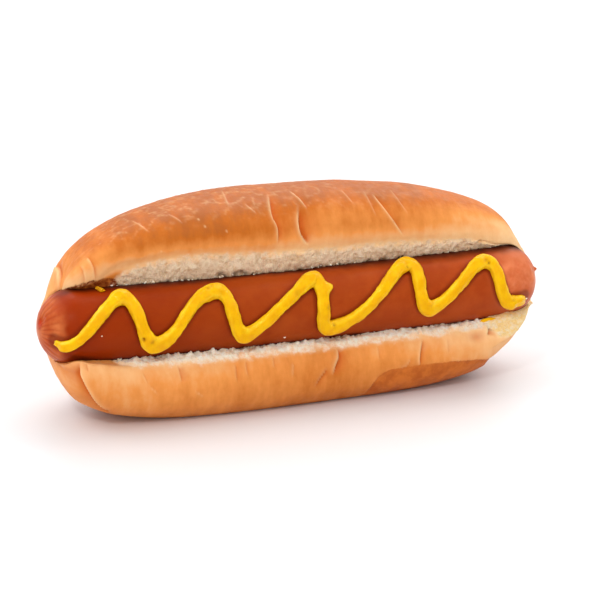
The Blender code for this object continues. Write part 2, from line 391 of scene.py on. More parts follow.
def spread(fraction, sizes):
    """Turns even fractions into shares, closer together where the strips are small."""
    share = np.linspace(0, 1, 2001)
    size = look_up(sizes, share)
    filled = np.concatenate([[0.0], np.cumsum(2 / (size[1:] + size[:-1]))])
    return np.interp(fraction, filled / filled[-1], share)


def shaped_sheet(name, strips, sizes, section):
    """A grid laid over the stations and shares of a section that is worked out slice by slice."""
    piece, along, across = sheet(name, BUN_STATIONS, strips)
    even = 2 * along - 1
    u = np.round((1 - END_CROWDING) * even + END_CROWDING * np.sin(even * math.pi / 2), 7)
    share = spread(across, sizes)
    mouth_shares = spread(np.linspace(0, 1, MOUTH_STRIPS + 1), MOUTH_STRIP_SIZES)
    places = np.empty((len(u), 3))
    for station in np.unique(u):
        here = np.flatnonzero(u == station)
        here = here[np.argsort(share[here])]
        if abs(station) == 1.0:
            nearest = np.abs(share[here][:, None] - mouth_shares).argmin(axis=1)
            share[here] = mouth_shares[nearest]
        places[here] = section(float(station), share[here])
    move_corners(piece, places)
    paint(piece, share=share)
    return piece


def round_the_lips(piece):
    """Rolls the cut edges over, so that crust runs into crumb without a hard corner."""
    share = read(piece, "share")
    crumb = read(piece, "crumb") > 0.5
    x = corners(piece)[:, 0] / MM
    inside = np.where(share < 0.5, share / LOWER_CRUMB * LOWER_BAND,
                      (1 - share) / UPPER_CRUMB * UPPER_BAND)
    outside = np.minimum(share, 1 - share) * OUTLINE_LENGTH / MM
    near = (np.where(crumb, inside, outside) < LIP_ROUND) & (np.abs(x) < LIP_ROUND_END)
    edit(piece)
    bpy.ops.mesh.select_mode(type="VERT")
    bpy.ops.mesh.select_all(action="DESELECT")
    stop_editing()
    piece.data.vertices.foreach_set("select", near)
    edit(piece)
    bpy.ops.mesh.vertices_smooth(factor=0.5, repeat=8)
    stop_editing()


def make_bun():
    """Two sheets, the crust and the mouth that holds the sausage, joined all along the rim."""
    crust = shaped_sheet("hot_dog_bun", CRUST_STRIPS, CRUST_STRIP_SIZES, crust_points)
    paint(crust, crumb=np.zeros(len(crust.data.vertices)))
    mouth = shaped_sheet("bun_mouth", MOUTH_STRIPS, MOUTH_STRIP_SIZES, mouth_points)
    paint(mouth, crumb=np.ones(len(mouth.data.vertices)))
    bun = join("hot_dog_bun", [crust, mouth])
    weld(bun)
    round_the_lips(bun)
    return finish(bun, "bread")


# ---- bun's creases, wrinkles and crumb
# Places on the crust are (x, way round from the nearer lip), and every figure is millimetres.
# A crease has a ridge on its -X side and a dent on its +X side, or the other way where the dent
# is below 0: the half it is on, the ridge's height and reach, the dent's depth and reach, its way.
CREASES = (
    ("upper", 0.5, 0.6, 1.05, 2, ((-5, 23.3), (-6.2, 17.3), (-6.8, 12.5), (-5.8, 8.8),
                                  (-5.9, 5.5), (-6.2, 2.5))),
    ("upper", 0.65, 0.8, 1.6, 2.6, ((2.2, 15.2), (1, 10.4), (1, 7.3), (2.3, 4.2),
                                    (4.4, 2))),
    ("upper", 0.5, 0.5, 0.55, 1.2, ((1.6, 23), (3.2, 18.1), (4.5, 13.8))),
    ("upper", 0.55, 0.5, 0.6, 1.3, ((26.6, 19.4), (27.4, 15.5), (29.2, 11.2), (32.3, 5.6),
                                    (34.4, 2.4))),
    ("upper", 0.15, 0.5, 0.2, 1.2, ((24.2, 21), (24.7, 14.3), (25.6, 9.5))),
    ("upper", 0.15, 0.5, 0.17, 1.2, ((33.2, 23), (34, 16), (36, 10))),
    ("upper", 0.21, 0.4, 0.2, 1, ((17.6, 21.5), (18.3, 18), (19.4, 14.5))),
    ("upper", 0.21, 0.4, 0.26, 1, ((-47, 23.5), (-45.6, 18), (-43.6, 12))),
    ("upper", 0.21, 0.4, 0.26, 1, ((-37, 19.5), (-35, 16), (-33.6, 13))),
    ("upper", 0.24, 0.4, 0.34, 1, ((-17.2, 30), (-18.1, 23), (-18.8, 17))),
    ("upper", 0.24, 0.4, 0.26, 1, ((-13.8, 18.2), (-12.6, 16), (-11, 13.4))),
    ("upper", 0.3, 1.1, 0.65, 0.5, ((-62.2, 15), (-61.2, 7), (-59.9, -2))),
    ("upper", 0.2, 0.9, -0.4, 0.9, ((-64.6, 13), (-63.9, 6), (-62.8, -2))),
    ("upper", 0.4, 1.6, 1, 1.3, ((-67.9, 60), (-68.3, 51), (-68.6, 42), (-69, 32))),
    ("lower", 0.47, 2.5, -1.65, 6, ((-68.4, -1), (-68.7, 4.8), (-68.2, 7.3), (-66.8, 10.4),
                                    (-64.1, 14.7), (-61.2, 17.7), (-58, 22))),
    ("lower", 0.14, 1, -0.45, 1, ((-66.4, -0.3), (-66.2, 3.8))),
    ("lower", 0.16, 0.8, 0.52, 1.3, ((-39.4, 0.4), (-39.2, 5.8))),
    ("lower", 0.16, 0.5, 0.18, 1, ((-50.4, 2), (-49.2, 6))),
    ("lower", 0.22, 0.3, 0.22, 0.6, ((-49, 6), (-46.2, 8.6))),
    ("lower", 0.22, 0.3, 0.15, 0.6, ((-35.6, 8.2), (-32.8, 10.2))),
    ("lower", 0.14, 0.8, 0.52, 0.5, ((-19, 0.8), (-19.3, 3.5), (-19.2, 6))),
    ("lower", 0.11, 0.8, 0.45, 1.3, ((-22.4, 1.6), (-22.8, 7))),
    ("lower", 0.14, 0.8, 0.45, 0.5, ((-10.6, 0.5), (-11, 4.4))),
    ("lower", 0.2, 0.4, 0.18, 0.8, ((-5, 3.2), (-5.2, 5), (-5.8, 7.6))),
    ("lower", 0.5, 1, 1.4, 1.8, ((9.6, 0), (9.4, 3), (8.1, 5.6), (6.5, 8.6))),
    ("lower", 0.12, 0.8, 0.95, 1.2, ((5.6, 6), (3.4, 8.2), (0.8, 11.6))),
    ("lower", 0.42, 1.2, 1, 1.1, ((36.8, 0.5), (34.9, 5.6), (34.5, 9.6))),
    ("lower", 0.14, 1.5, 0.38, 1.2, ((32, 6), (30.4, 8.4), (27.6, 9.8))),
    ("lower", 0.08, 1, 0.22, 1.2, ((22, 1), (21.6, 6))),
    ("lower", 0.08, 1, 0.22, 1.2, ((44.5, 1.5), (43.8, 7))),
    ("lower", 0.68, 2, 0.9, 2.5, ((58.4, -1), (58.2, 1.5), (57.4, 3.4))),
)
CREASE_EDGE = 0.28  # half the width of the step between a ridge and its dent
CREASE_START, CREASE_END = 0.25, 0.3  # shares of its way over which it rises and dies away
RIDGE_HIGHLIGHT_REACH = 0.8  # how far the painted highlight goes down a ridge
DENT_SHADE = 2.6  # how far the painted shade goes into a wide dent
FULL_RIDGE, FULL_DENT, FULL_HOLLOW = 0.4, 0.8, 1.6  # the height or depth with the full painted highlight or shade
CREASE_REACH = 14.0  # nothing moves further off than this
HIDDEN_CREASES = 26  # on the back, the top and below, where the front's don't reach
HIDDEN_RANGE = (-66, 66)  # where they lie by x and start round from the lip, and how long
HIDDEN_START = (34, 72)
HIDDEN_LENGTH = (5, 13)

# Soft hollows, with painted shade: the half, the place, the reach along X and round, and the depth.
HOLLOWS = (
    ("lower", 54.3, 2.6, 2.6, 1.9, 0.85), ("lower", -60.4, 19.6, 1.1, 1.8, 0.8),
    ("upper", -59, 6.5, 1.3, 6, -0.45), ("upper", -68.6, 49, 2.2, 3.5, 0.5),
    ("upper", -2.6, 10.5, 3, 4, 0.35), ("upper", 4.6, 9, 3.4, 5, 0.45),
    ("upper", -22, 6, 2, 4, 0.18),
    ("lower", -38.4, 3, 1.4, 3.4, 0.18), ("lower", -10, 3, 1.6, 3, 0.14),
)
SPECKS = (("upper", -28.9, 13.8), ("upper", -27.6, 10.8), ("upper", -21.4, 8.6),
          ("upper", -46.8, 3), ("upper", -41, 4.3), ("lower", -53, 5.2))
SPECK_SIZE = 0.26
SPECK_HEIGHT = 0.12
SPECK_PALENESS = 0.6
# How far the upper lip hangs over towards its two ends: x, millimetres, and how far up it does.
DROOP_REACH = 6
LIP_DROOP = (
    (-76, 0), (-72, 0.8), (-67, 1.8), (-60, 1.8), (-54, 0), (55, 0), (64, 1.1),
)

UNEVEN = ((19, 0.35), (8, 0.12), (3.2, 0.06))  # the crust's swells: size and height
# Leathery wrinkles on top, where the skin dried first: their size along and across, their
# height and painted highlight, where they start and end round from the upper lip and over how
# far they come and go, and how strong they are by x.
WRINKLE_SIZE = (4.6, 3.4)
WRINKLE_HEIGHT = 0.16
WRINKLE_HIGHLIGHT = 0.3
WRINKLES_START, WRINKLES_COME = 9.0, 9.0
WRINKLES_END, WRINKLES_GO = 46.0, 10.0
WRINKLES = ((-80, 0.2), (-64, 0.4), (-50, 1), (-10, 1), (10, 0.6), (40, 0.35),
            (80, 0.35))

CRUMB_GRAIN = ((2.4, 0.34), (0.9, 0.22))
CRUMB_TEARS = (1.9, 1.5)  # torn lumps along the lower crumb's far edge: size and height
BUTTER_CALM = 0.6  # how much smoother the crumb is under the butter of the torn end
HOLE_SPACING = 1.5 * MM
HOLE_DEPTH = 0.4
CRUMB_SHADE_START = 0.93  # share of the upper band from which the crumb is in shade
CRUMB_SHADE = 0.75  # and how dark that is
CRUMB_PRESS = 0.75  # how far the crumb is pressed on to the sausage at its edge
TONGUE_SIZE = 2.0  # and how it is torn there: size and reach over the skin
LOWER_TONGUES = 0.7
UPPER_TONGUES = 0.35
CRUMB_SWELL = (  # x, swell of the lower band and of the upper band
    (-76, 0.3, 0.2), (-60, 0.8, 0.3), (-40, 1.3, 0.5), (40, 1.3, 0.5), (56, 1.6, 0.4),
    (66, 2.4, 0.3), (72, 1.4, 0.2), (75.5, 0.3, 0.1),
)
# Small holes, painted as shade, by the upper crumb's edge on the sausage: x, share of the band,
# size, depth.
PITS = (
    (-22.8, 0.86, 0.55, 0.8), (-21.4, 0.93, 0.45, 0.6), (-18.2, 0.9, 0.6, 0.9),
    (-16.4, 0.82, 0.4, 0.6), (-15.2, 0.9, 0.5, 0.7), (-12.8, 0.97, 0.4, 0.5),
    (2, 0.98, 0.5, 0.5), (8.4, 0.98, 0.6, 0.6), (14, 0.97, 0.6, 0.7), (19, 0.98, 0.5, 0.5),
    (23.5, 0.95, 0.6, 0.7), (28.5, 0.95, 0.6, 0.7), (34, 0.97, 0.5, 0.6),
    (-33, 0.97, 0.5, 0.5), (-38.5, 0.94, 0.4, 0.5), (50, 0.97, 0.4, 0.5),
)
PIT_STRETCH = 1.7  # how much longer they are along the bun than across the band
# how dark the painted shade in a hole is
PIT_PAINTED_SHADE = 0.8
# How far past the lip the crust still reaches, at the upper lip and at the lower: x, upper, lower.
CRUST_EDGE = (
    (-80, 9, 9), (-61, 9, 9), (-58, 9, 6), (-56, 7, 2.2), (-54, 4.4, 1.4),
    (-52, 2.4, 0.6), (-48, 1, 0.5), (-40, 0.3, 0.4), (40, 0.2, 0.4), (56, 0.4, 0.6),
    (59, 0.8, -0.5), (61.5, 1.4, -4.6), (66.5, 3, -8.2), (70, 5, -7.4), (73, 6, -3.6),
    (80, 8, -2),
)
TORN_END = 57.0  # where the right end's crust is torn off, and butter shows

# The baked base: below this line, (x, way round from the lower lip), the crust is darker, and
# the paler skin above ends in a torn step.
BASE_LINE = ((-80, 28), (0, 28), (14, 27), (18.6, 17.5), (19.6, 13.2), (21.4, 10.4),
             (24.6, 9), (34.4, 8.8), (46.3, 9.6), (53.8, 11.2), (58.5, 13.4), (64, 18),
             (70, 26), (80, 28))
BASE_BACK = 52.0  # where the base ends behind
BASE_TOP = 12.0  # and how far above the table it ends at the bun's two ends
BASE_STEP = 0.45
BASE_STEP_REACH = 8.0  # the step is gone this many millimetres further round

# Where the left end's upper lip is scorched: x, millimetres past the lip where that starts.
SCORCH_LINE = ((-77, -0.6), (-73, -1.7), (-66, -1.2), (-61, -0.3), (-57, 2),
               (-54, 4), (-51, 9))

# How lightly the crust is baked, from 0, deep golden brown, to 1, pale: x, then three places.
UPPER_BAKE = (  # at the lip, 9 mm round from it and over the top
    (-76, 0.98, 0.9, 0.9), (-62, 0.84, 0.42, 0.2), (-45, 0.7, 0.14, 0.04),
    (-20, 0.66, 0.12, 0.02), (5, 0.84, 0.31, 0.02), (40, 0.86, 0.4, 0.06),
    (60, 0.95, 0.66, 0.18), (76, 1, 0.9, 0.4),
)
LOWER_BAKE = (  # at the lip, 9 mm round from it and at the foot
    (-76, 0.6, 0.52, 0.46), (-55, 0.74, 0.54, 0.46), (-20, 0.56, 0.38, 0.38),
    (10, 0.38, 0.27, 0.26), (40, 0.7, 0.48, 0.42), (60, 0.96, 0.74, 0.48),
    (76, 0.95, 0.8, 0.45),
)
BAKE_PLACES = (0.5, 9, 20)
BAKE_BLEND = 0.5  # how far round the back one half's crust runs into the other's
BAKE_PATCHES = (9, 0.08)  # size and strength of its soft patches

LINE_REACH = 8  # millimetres that a mask covers across a painted line


def hidden_creases():
    rows = []
    chance = random.Random(SEED)
    for k in range(HIDDEN_CREASES):
        x = chance.uniform(*HIDDEN_RANGE)
        start = chance.uniform(*HIDDEN_START)
        length = chance.uniform(*HIDDEN_LENGTH)
        lean = chance.uniform(-3, 3)
        route = ((x, start), (x + lean * 0.7, start + length / 2), (x + lean, start + length))
        rows.append(("upper" if k % 3 else "lower", chance.uniform(0.1, 0.25), 0.5,
                     chance.uniform(0.15, 0.45), chance.uniform(0.8, 1.6), route))
    return tuple(rows)


def way_from(route, x, drop):
    """Distance off a route, with its +X side above 0, and how far along it, from 0 to 1."""
    line = smooth_curve(route, 6)
    best = np.full(len(x), 1e9)
    signed = np.zeros(len(x))
    along = np.zeros(len(x))
    for k, (start, end) in enumerate(zip(line, line[1:])):
        step = end - start
        dx, dy = x - start[0], drop - start[1]
        share = np.clip((dx * step[0] + dy * step[1]) / (step @ step), 0, 1)
        distance = np.hypot(dx - share * step[0], dy - share * step[1])
        side = np.sign((dx * step[1] - dy * step[0]) * (1 if step[1] > 0 else -1))
        closer = distance < best
        best = np.where(closer, distance, best)
        signed = np.where(closer, distance * side, signed)
        along = np.where(closer, (k + share) / (len(line) - 1), along)
    return signed, along


def press_creases(x, drops):
    """Millimetres to add at each vertex, and how strongly it is painted as a lit ridge and a shaded
    dent.
    """
    height = np.zeros(len(x))
    highlights_and_specks = np.zeros(len(x))
    hollow_shade = np.zeros(len(x))
    for half, ridge, ridge_reach, dent, dent_reach, route in CREASES + hidden_creases():
        low, high = np.min(route, axis=0) - CREASE_REACH, np.max(route, axis=0) + CREASE_REACH
        rows = np.flatnonzero((x > low[0]) & (x < high[0])
                              & (drops[half] > low[1]) & (drops[half] < high[1]))
        signed, along = way_from(route, x[rows], drops[half][rows])
        signed = signed * np.sign(dent)
        fade = ease(along / CREASE_START) * ease((1 - along) / CREASE_END)
        on_ridge = ease(0.5 - signed / (2 * CREASE_EDGE)) * np.exp(np.minimum(signed, 0)
                                                                  / ridge_reach)
        in_dent = ease(0.5 + signed / (2 * CREASE_EDGE)) * np.exp(-np.maximum(signed, 0)
                                                                 / dent_reach)
        height[rows] += fade * (ridge * on_ridge - abs(dent) * in_dent)
        highlights_and_specks[rows] += (fade * on_ridge * np.exp(np.minimum(signed, 0) / RIDGE_HIGHLIGHT_REACH)
                         * ridge / FULL_RIDGE)
        hollow_shade[rows] += (fade * in_dent * np.exp(-np.maximum(signed, 0) / DENT_SHADE)
                       * abs(dent) / FULL_DENT)
    for half, place, way, reach, reach_round, depth in HOLLOWS:
        dip = gauss(np.hypot((x - place) / reach, (drops[half] - way) / reach_round), 1.0)
        height -= depth * dip
        hollow_shade += dip * max(depth, 0.0) / FULL_HOLLOW
    for half, place, way in SPECKS:
        speck = gauss(np.hypot(x - place, drops[half] - way), SPECK_SIZE)
        height += speck * SPECK_HEIGHT
        highlights_and_specks += speck * SPECK_PALENESS
    return height, highlights_and_specks, hollow_shade


def wrinkle(x, drops, share):
    """Thin raised lines that run together like those of leather, faint towards the lips."""
    size_along, size_across = WRINKLE_SIZE
    lines = np.zeros(len(x))
    for row in np.flatnonzero((share > 0.5) & (drops["upper"] > WRINKLES_START - 1)):
        at = Vector((x[row] / size_along, drops["upper"][row] / size_across, 4.7))
        lines[row] = noise.ridged_multi_fractal(at, 0.9, 2.0, 3, 1.0, 2.0)
    lines = ease((lines - 1.1) / 0.9)
    strength = look_up(WRINKLES, x)
    in_front = 1 - ease((drops["upper"] - WRINKLES_END + WRINKLES_GO) / WRINKLES_GO)
    return lines * strength * ease((drops["upper"] - WRINKLES_START) / WRINKLES_COME) * in_front


def bake(x, drops, share, places):
    """How lightly each vertex's crust is baked."""
    value = np.zeros(len(x))
    upper = ease((share - 0.5 + BAKE_BLEND / 2) / BAKE_BLEND)
    for half, rows in (("upper", UPPER_BAKE), ("lower", LOWER_BAKE)):
        lip, middle, far = [look_up(rows, x, k) for k in (1, 2, 3)]
        drop = drops[half]
        first = ease((drop - BAKE_PLACES[0]) / (BAKE_PLACES[1] - BAKE_PLACES[0]))
        second = ease((drop - BAKE_PLACES[1]) / (BAKE_PLACES[2] - BAKE_PLACES[1]))
        weight = upper if half == "upper" else 1 - upper
        value += weight * (lip + (middle - lip) * first + (far - middle) * second)
    size, strength = BAKE_PATCHES
    return value + strength * bumps(places * [1.0, 0.5, 0.5], size * MM, 2, shift=20)


def torn_end(x):
    return ease((x - TORN_END) / 4)


def crumb_height(places, x, share, from_lip):
    """Millimetres of swell, grain and holes in the crumb, and the painted shade in its holes and
    edge.
    """
    lower = share < 0.5
    swells = [look_up(CRUMB_SWELL, x, k) for k in (1, 2)]
    arch = np.maximum(np.sin(np.clip(from_lip, 0, 1) * math.pi), 0.0) ** 0.8
    height = np.where(lower, *swells) * arch
    calm = 1 - BUTTER_CALM * lower * torn_end(x)
    for k, (size, rise) in enumerate(CRUMB_GRAIN):
        height += bumps(places, size * MM, 2, shift=12 + k) * rise * calm
    size, rise = CRUMB_TEARS
    torn = np.clip(bumps(places * [1, 0.6, 0.6], size * MM, 3, shift=15), -0.15, 0.9)
    height += np.where(lower, rise * torn * calm * ease((from_lip - 0.25) / 0.45), 0.0)
    nearest = np.array([noise.voronoi(Vector(p) / HOLE_SPACING)[0][0] for p in places])
    height -= HOLE_DEPTH * (1 - ease(nearest / 0.5)) * calm
    dark = np.zeros(len(x))
    for place, band, size, depth in PITS:
        off = np.hypot((x - place) / PIT_STRETCH, (from_lip - band) * UPPER_BAND)
        pit = np.where(lower, 0.0, gauss(off, size))
        height -= depth * pit
        dark += PIT_PAINTED_SHADE * pit
    edge = from_lip - CRUMB_SHADE_START + 0.05 * bumps(places, 1.5 * MM, 2, shift=24)
    dark = np.maximum(dark, CRUMB_SHADE * ease(edge / 0.05) * ~lower)
    return height, dark


def past_base_line(places, x, drop, in_mouth):
    """Millimetres past the line where the darker base starts, and below 0 on the paler side."""
    past = np.minimum(drop - look_up(BASE_LINE, x), BASE_BACK - drop)
    past = np.minimum(past, BASE_TOP + bumps(places, 14 * MM, shift=27) - places[:, 2] / MM)
    return np.where(in_mouth, -9.0, past)


def sculpt_bun(piece):
    """Presses in all of the bread's relief, and paints what its material reads."""
    places = corners(piece)
    normals = outward(piece)
    share = read(piece, "share")
    in_mouth = read(piece, "crumb") > 0.5
    x = places[:, 0] / MM
    drops = {"lower": share * OUTLINE_LENGTH / MM, "upper": (1 - share) * OUTLINE_LENGTH / MM}
    lower = share < 0.5
    from_lip = np.where(lower, share / LOWER_CRUMB, (1 - share) / UPPER_CRUMB)
    on_crust = np.where(in_mouth, 1 - ease(from_lip / 0.3), 1.0)
    crust_drops = {half: np.where(in_mouth, -from_lip * LOWER_BAND, way)
                   for half, way in drops.items()}

    # The crust: creases, swells and wrinkles, with painted highlight on ridges and shade in dents.
    height, highlights_and_specks, hollow_shade = press_creases(x, crust_drops)
    for k, (size, rise) in enumerate(UNEVEN):
        height += bumps(places, size * MM, shift=2 + 3 * k) * rise
    wrinkles = wrinkle(x, drops, share)
    height += wrinkles * WRINKLE_HEIGHT
    highlights_and_specks += WRINKLE_HIGHLIGHT * wrinkles
    height *= on_crust

    # The step down to the baked base.
    past_base = past_base_line(places, x, drops["lower"], in_mouth)
    ragged = past_base - bumps(places, 3 * MM, 2, shift=9) * 0.2
    height -= BASE_STEP * ease(ragged / 0.6) * (1 - ease(ragged / BASE_STEP_REACH))

    # The crumb, from the line where the crust is cut or torn.
    into_mouth = np.where(in_mouth, from_lip * np.where(lower, LOWER_BAND, UPPER_BAND),
                          -np.where(lower, drops["lower"], drops["upper"]))
    edges = [look_up(CRUST_EDGE, x, k) for k in (2, 1)]
    into_crumb = into_mouth - np.where(lower, *edges)
    rows = np.flatnonzero((into_crumb > -1.0) & (from_lip < 1.25) & (in_mouth | lower))
    crumbly = ease((into_crumb[rows] + 0.3) / 0.8)
    grain, dark = crumb_height(places[rows], x[rows], share[rows],
                               np.where(in_mouth, from_lip, 0.0)[rows])
    height[rows] += grain * crumbly
    # The crumb's holes and its edge by the sausage take painted shade.
    hollow_shade[rows] = np.maximum(hollow_shade[rows] * (1 - crumbly), dark)

    # All of it is moved, less and less towards the floor, and set against the sausage.
    off_floor = ease(places[:, 2] / (3 * MM))
    places += normals * (height * off_floor * MM)[:, None]
    by_lip = np.where(in_mouth, 1 - ease(from_lip / 1.1), 1 - ease(drops["upper"] / DROOP_REACH))
    places[:, 2] -= look_up(LIP_DROOP, x) * MM * by_lip * ~lower
    press_on_sausage(places, np.where(in_mouth, from_lip, 0.0), lower)
    places[:, 2] = np.maximum(places[:, 2], 0.0)
    move_corners(piece, places)
    past_scorch = (into_mouth - look_up(SCORCH_LINE, x)
                   + 0.6 * bumps(places, 1.3 * MM, 2, shift=23))
    # Painted highlight on ridges and wrinkles, and painted shade in dents, hollows and crumb holes.
    paint(piece, ridge=highlights_and_specks * on_crust, hollow=hollow_shade, pale=bake(x, drops, share, places),
          # The upper mask also paints the upper crumb shaded.
          into_base=across_line(past_base), into_crumb=across_line(into_crumb), upper=~lower,
          torn_end=torn_end(x) * lower, scorched=ease(past_scorch / 0.4) * ~lower)
    lay_out_skin(piece, x, share)


def press_on_sausage(places, from_lip, lower):
    """Tears the crumb's far edge into tongues, and brings it in until it lies on the sausage."""
    rows = np.flatnonzero((from_lip > 0.5) & (from_lip < 1.6))
    near, band = places[rows], from_lip[rows]
    reach = np.where(lower[rows], LOWER_TONGUES, UPPER_TONGUES)
    tongues = 0.2 + 1.1 * bumps(near * [1, 0.4, 0.4], TONGUE_SIZE * MM, 3, shift=61)
    angle, radius = round_the_axis(near)
    held = ease((band - 0.5) / 0.4) * (1 - ease((band - 1.2) / 0.4))
    over = tongues * reach * held * MM
    angle += np.where(lower[rows], 1, -1) * over / radius
    start = 0.62 + 0.25 * np.clip(tongues, -0.5, 1.0)
    radius -= CRUMB_PRESS * MM * ease((band - start) / 0.35) * (
        1 + 0.4 * bumps(near, 1.2 * MM, 2, shift=17))
    places[rows] = round_the_sausage(near[:, 0], np.degrees(angle), radius)


def across_line(distance):
    """Millimetres past a line, from -4 as 0 to 4 as 1, for a material to cut off at 0.5."""
    return 0.5 + distance / LINE_REACH


def lay_out_skin(piece, x, share):
    """The skin's UV map, along X and round the crust, both in tenths of a metre."""
    layer = piece.data.uv_layers[0]
    layer.name = "skin"
    which = each(piece.data.loops, "vertex_index", 1)[:, 0].astype(int)
    flat = np.column_stack([x * MM, share * OUTLINE_LENGTH]) * 10
    layer.data.foreach_set("uv", flat[which].astype(np.float32).ravel())


# ---- sausage
SAUSAGE_SEGMENTS = 176
SAUSAGE_RINGS = 270
RING_MIX = (0.45, 0.55)  # shares of rings evenly spaced, and crowded at the two ends
SKIN_UNEVEN = ((14, 0.14, 30), (2.6, 0.03, 34))  # swells: size, height and a shift of the noise
PLEATS = 25  # fine folds that run into the tied left end
PLEAT_DEPTH = 0.28
# Millimetres from the end's tip where the pleats have started, are deepest and are gone.
PLEAT_START, PLEAT_FULL, PLEAT_REACH = 0.9, 2.0, 7.5
# Dents and lumps in the skin: x, angle, reach, and rise, which is below 0 for a dent.
SKIN_MARKS = (
    (-76.6, 60, 1.3, -0.55), (-72.6, 40, 1.2, 0.14), (-73.4, 5, 1.4, 0.16),
    (65, 22, 1.1, -0.32), (67, 10, 0.8, -0.28), (68.6, 26, 0.9, 0.2),
    (66.4, 34, 1.2, 0.16), (70.2, 4, 1, -0.22), (71.5, 20, 1.1, -0.24),
    (69, 44, 1, -0.18), (73, 34, 0.9, 0.22), (74.2, 12, 0.9, 0.2),
    (76.3, 42, 0.55, 1.15), (76.6, 30, 1, -0.3),
    (-30, -30, 3, -0.12), (20, 30, 3.5, -0.1), (44, 5, 3, -0.12),
)
KNOT = (-77.2, 60)  # where the skin was tied off: x, angle
KNOT_SIZE = 1.3
LEFT_CAP = 5.6  # how far in from the tips the paler, tighter skin reaches
RIGHT_CAP = 14.5
# How far below the upper crumb the skin is painted dark as shade: x, millimetres.
UPPER_BREAD_SHADE = (
    (-78, 2.5), (-60, 3.8), (-50, 5), (-34, 4.4), (-14, 2.6), (6, 3.2), (16, 4.6),
    (26, 5.6), (50, 6), (66, 5), (78, 3),
)
LOWER_BREAD_SHADE = 3.2  # and how far above the lower crumb it is painted dark as shade
LOWER_SHADE = 14.0  # and how far up from there a fainter painted shade reaches
SAUCE_EDGE = 1.1  # how far the skin is painted darker as shade along the mustard
# The paler patches of the right end: x, angle, reach.
PALE_PATCHES = ((70.5, 28, 5.5), (67, 2, 4), (75.5, 10, 5), (64, 30, 3))


def under_bread(x, angle):
    """How dark the skin is painted as shade by the crumb that presses on it: 1 where it touches."""
    low, _, high = rows_at(CONTACT, x / TIP_PLACE)
    round_mm = math.radians(1) * SAUSAGE_RADIUS / MM
    below = (high - angle) * round_mm
    above = (angle - low) * round_mm
    dark = np.maximum(1 - ease(below / look_up(UPPER_BREAD_SHADE, x)),
                      1 - ease(above / LOWER_BREAD_SHADE))
    dark = np.maximum(dark, 0.2 * (1 - ease(above / LOWER_SHADE)))
    return dark * ease((x + 74.0) / 8) * ease((76.5 - x) / 5)


def beside_sauce(places):
    """How dark the skin is painted as shade beside the mustard: 1 at its edge, and 0 from
    SAUCE_EDGE off.
    """
    x, angle, _ = bead_route(BEAD_RINGS + 1)
    route = round_the_sausage(x, angle, sausage_radius(x))
    near = kdtree.KDTree(len(route))
    for k, place in enumerate(route):
        near.insert(place, k)
    near.balance()
    off = np.array([near.find(place)[2] for place in places])
    return ease(1 - (off - BEAD_WIDTH / 2) / (SAUCE_EDGE * MM))


def pleats(x, angle, places):
    """How far each place is down in one of the left end's fine folds, from 0 to 1."""
    waver = bumps(places, 6 * MM, 2, shift=33)
    turn = np.radians(angle) * PLEATS / 2 + 0.9 * waver
    groove = 1 - np.abs(np.sin(turn)) ** 0.5
    from_tip = (SAUSAGE_LENGTH / 2 + x) / MM
    fade = ease(from_tip / PLEAT_START) * (1 - ease((from_tip - PLEAT_FULL)
                                                    / (PLEAT_REACH - PLEAT_FULL)))
    return groove * (fade * (0.6 + 0.6 * np.abs(waver)))


def paint_skin(piece, places):
    """Marks the knot, the caps, and painted shade in the folds, round the knot and by bread and
    mustard.
    """
    left = (SAUSAGE_LENGTH / 2 + places[:, 0]) / MM
    right = (SAUSAGE_LENGTH / 2 - places[:, 0]) / MM
    ragged = bumps(places, 4 * MM, 2, shift=37) * 0.8
    off = millimetres_off(places, on_the_skin(*KNOT))
    knot = gauss(off, KNOT_SIZE)
    knot_ring_shade = gauss(off - KNOT_SIZE, 0.35)
    patch = sum(gauss(millimetres_off(places, on_the_skin(*mark)), reach)
                for *mark, reach in PALE_PATCHES)
    angle = np.degrees(round_the_axis(places)[0]) + 4.0 * ragged
    paint(piece, knot=knot, fold=np.maximum(read(piece, "groove"), knot_ring_shade),
          left_cap=(1 - ease((left + ragged - LEFT_CAP + 2) / 3.5)) * (1 - 0.9 * knot),
          right_cap=0.35 * (1 - ease((right + 2 * ragged - RIGHT_CAP + 3) / 9)) + 0.65 * patch,
          under_bread=under_bread(places[:, 0] / MM, angle),
          along=places[:, 0] / SAUSAGE_LENGTH + 0.5, beside_sauce=beside_sauce(places))


def make_sausage():
    deselect_all()
    bpy.ops.mesh.primitive_uv_sphere_add(segments=SAUSAGE_SEGMENTS, ring_count=SAUSAGE_RINGS,
                                         radius=1.0)
    piece = bpy.context.object
    piece.name = "frankfurter"
    ball = corners(piece)
    latitude = np.arcsin(np.clip(ball[:, 2], -1, 1))
    angle = np.degrees(np.arctan2(ball[:, 1], ball[:, 0]))
    even, crowded = RING_MIX
    x = (even * latitude / (math.pi / 2) + crowded * ball[:, 2]) * SAUSAGE_LENGTH / 2
    radius = sausage_radius(x)
    groove = pleats(x, angle, round_the_sausage(x, angle, radius))
    move_corners(piece, round_the_sausage(x, angle, radius - PLEAT_DEPTH * MM * groove))
    # How deep each place is in a fold, which is also painted as shade.
    paint(piece, groove=groove)
    weld(piece)
    places = corners(piece)
    rise = sum(bumps(places, size * MM, 2, shift) * height for size, height, shift in SKIN_UNEVEN)
    for *mark, reach, height in SKIN_MARKS:
        rise += height * gauss(millimetres_off(places, on_the_skin(*mark)), reach)
    places += outward(piece) * (rise * MM)[:, None]
    move_corners(piece, places)
    paint_skin(piece, places)
    return finish(piece, "sausage_skin")


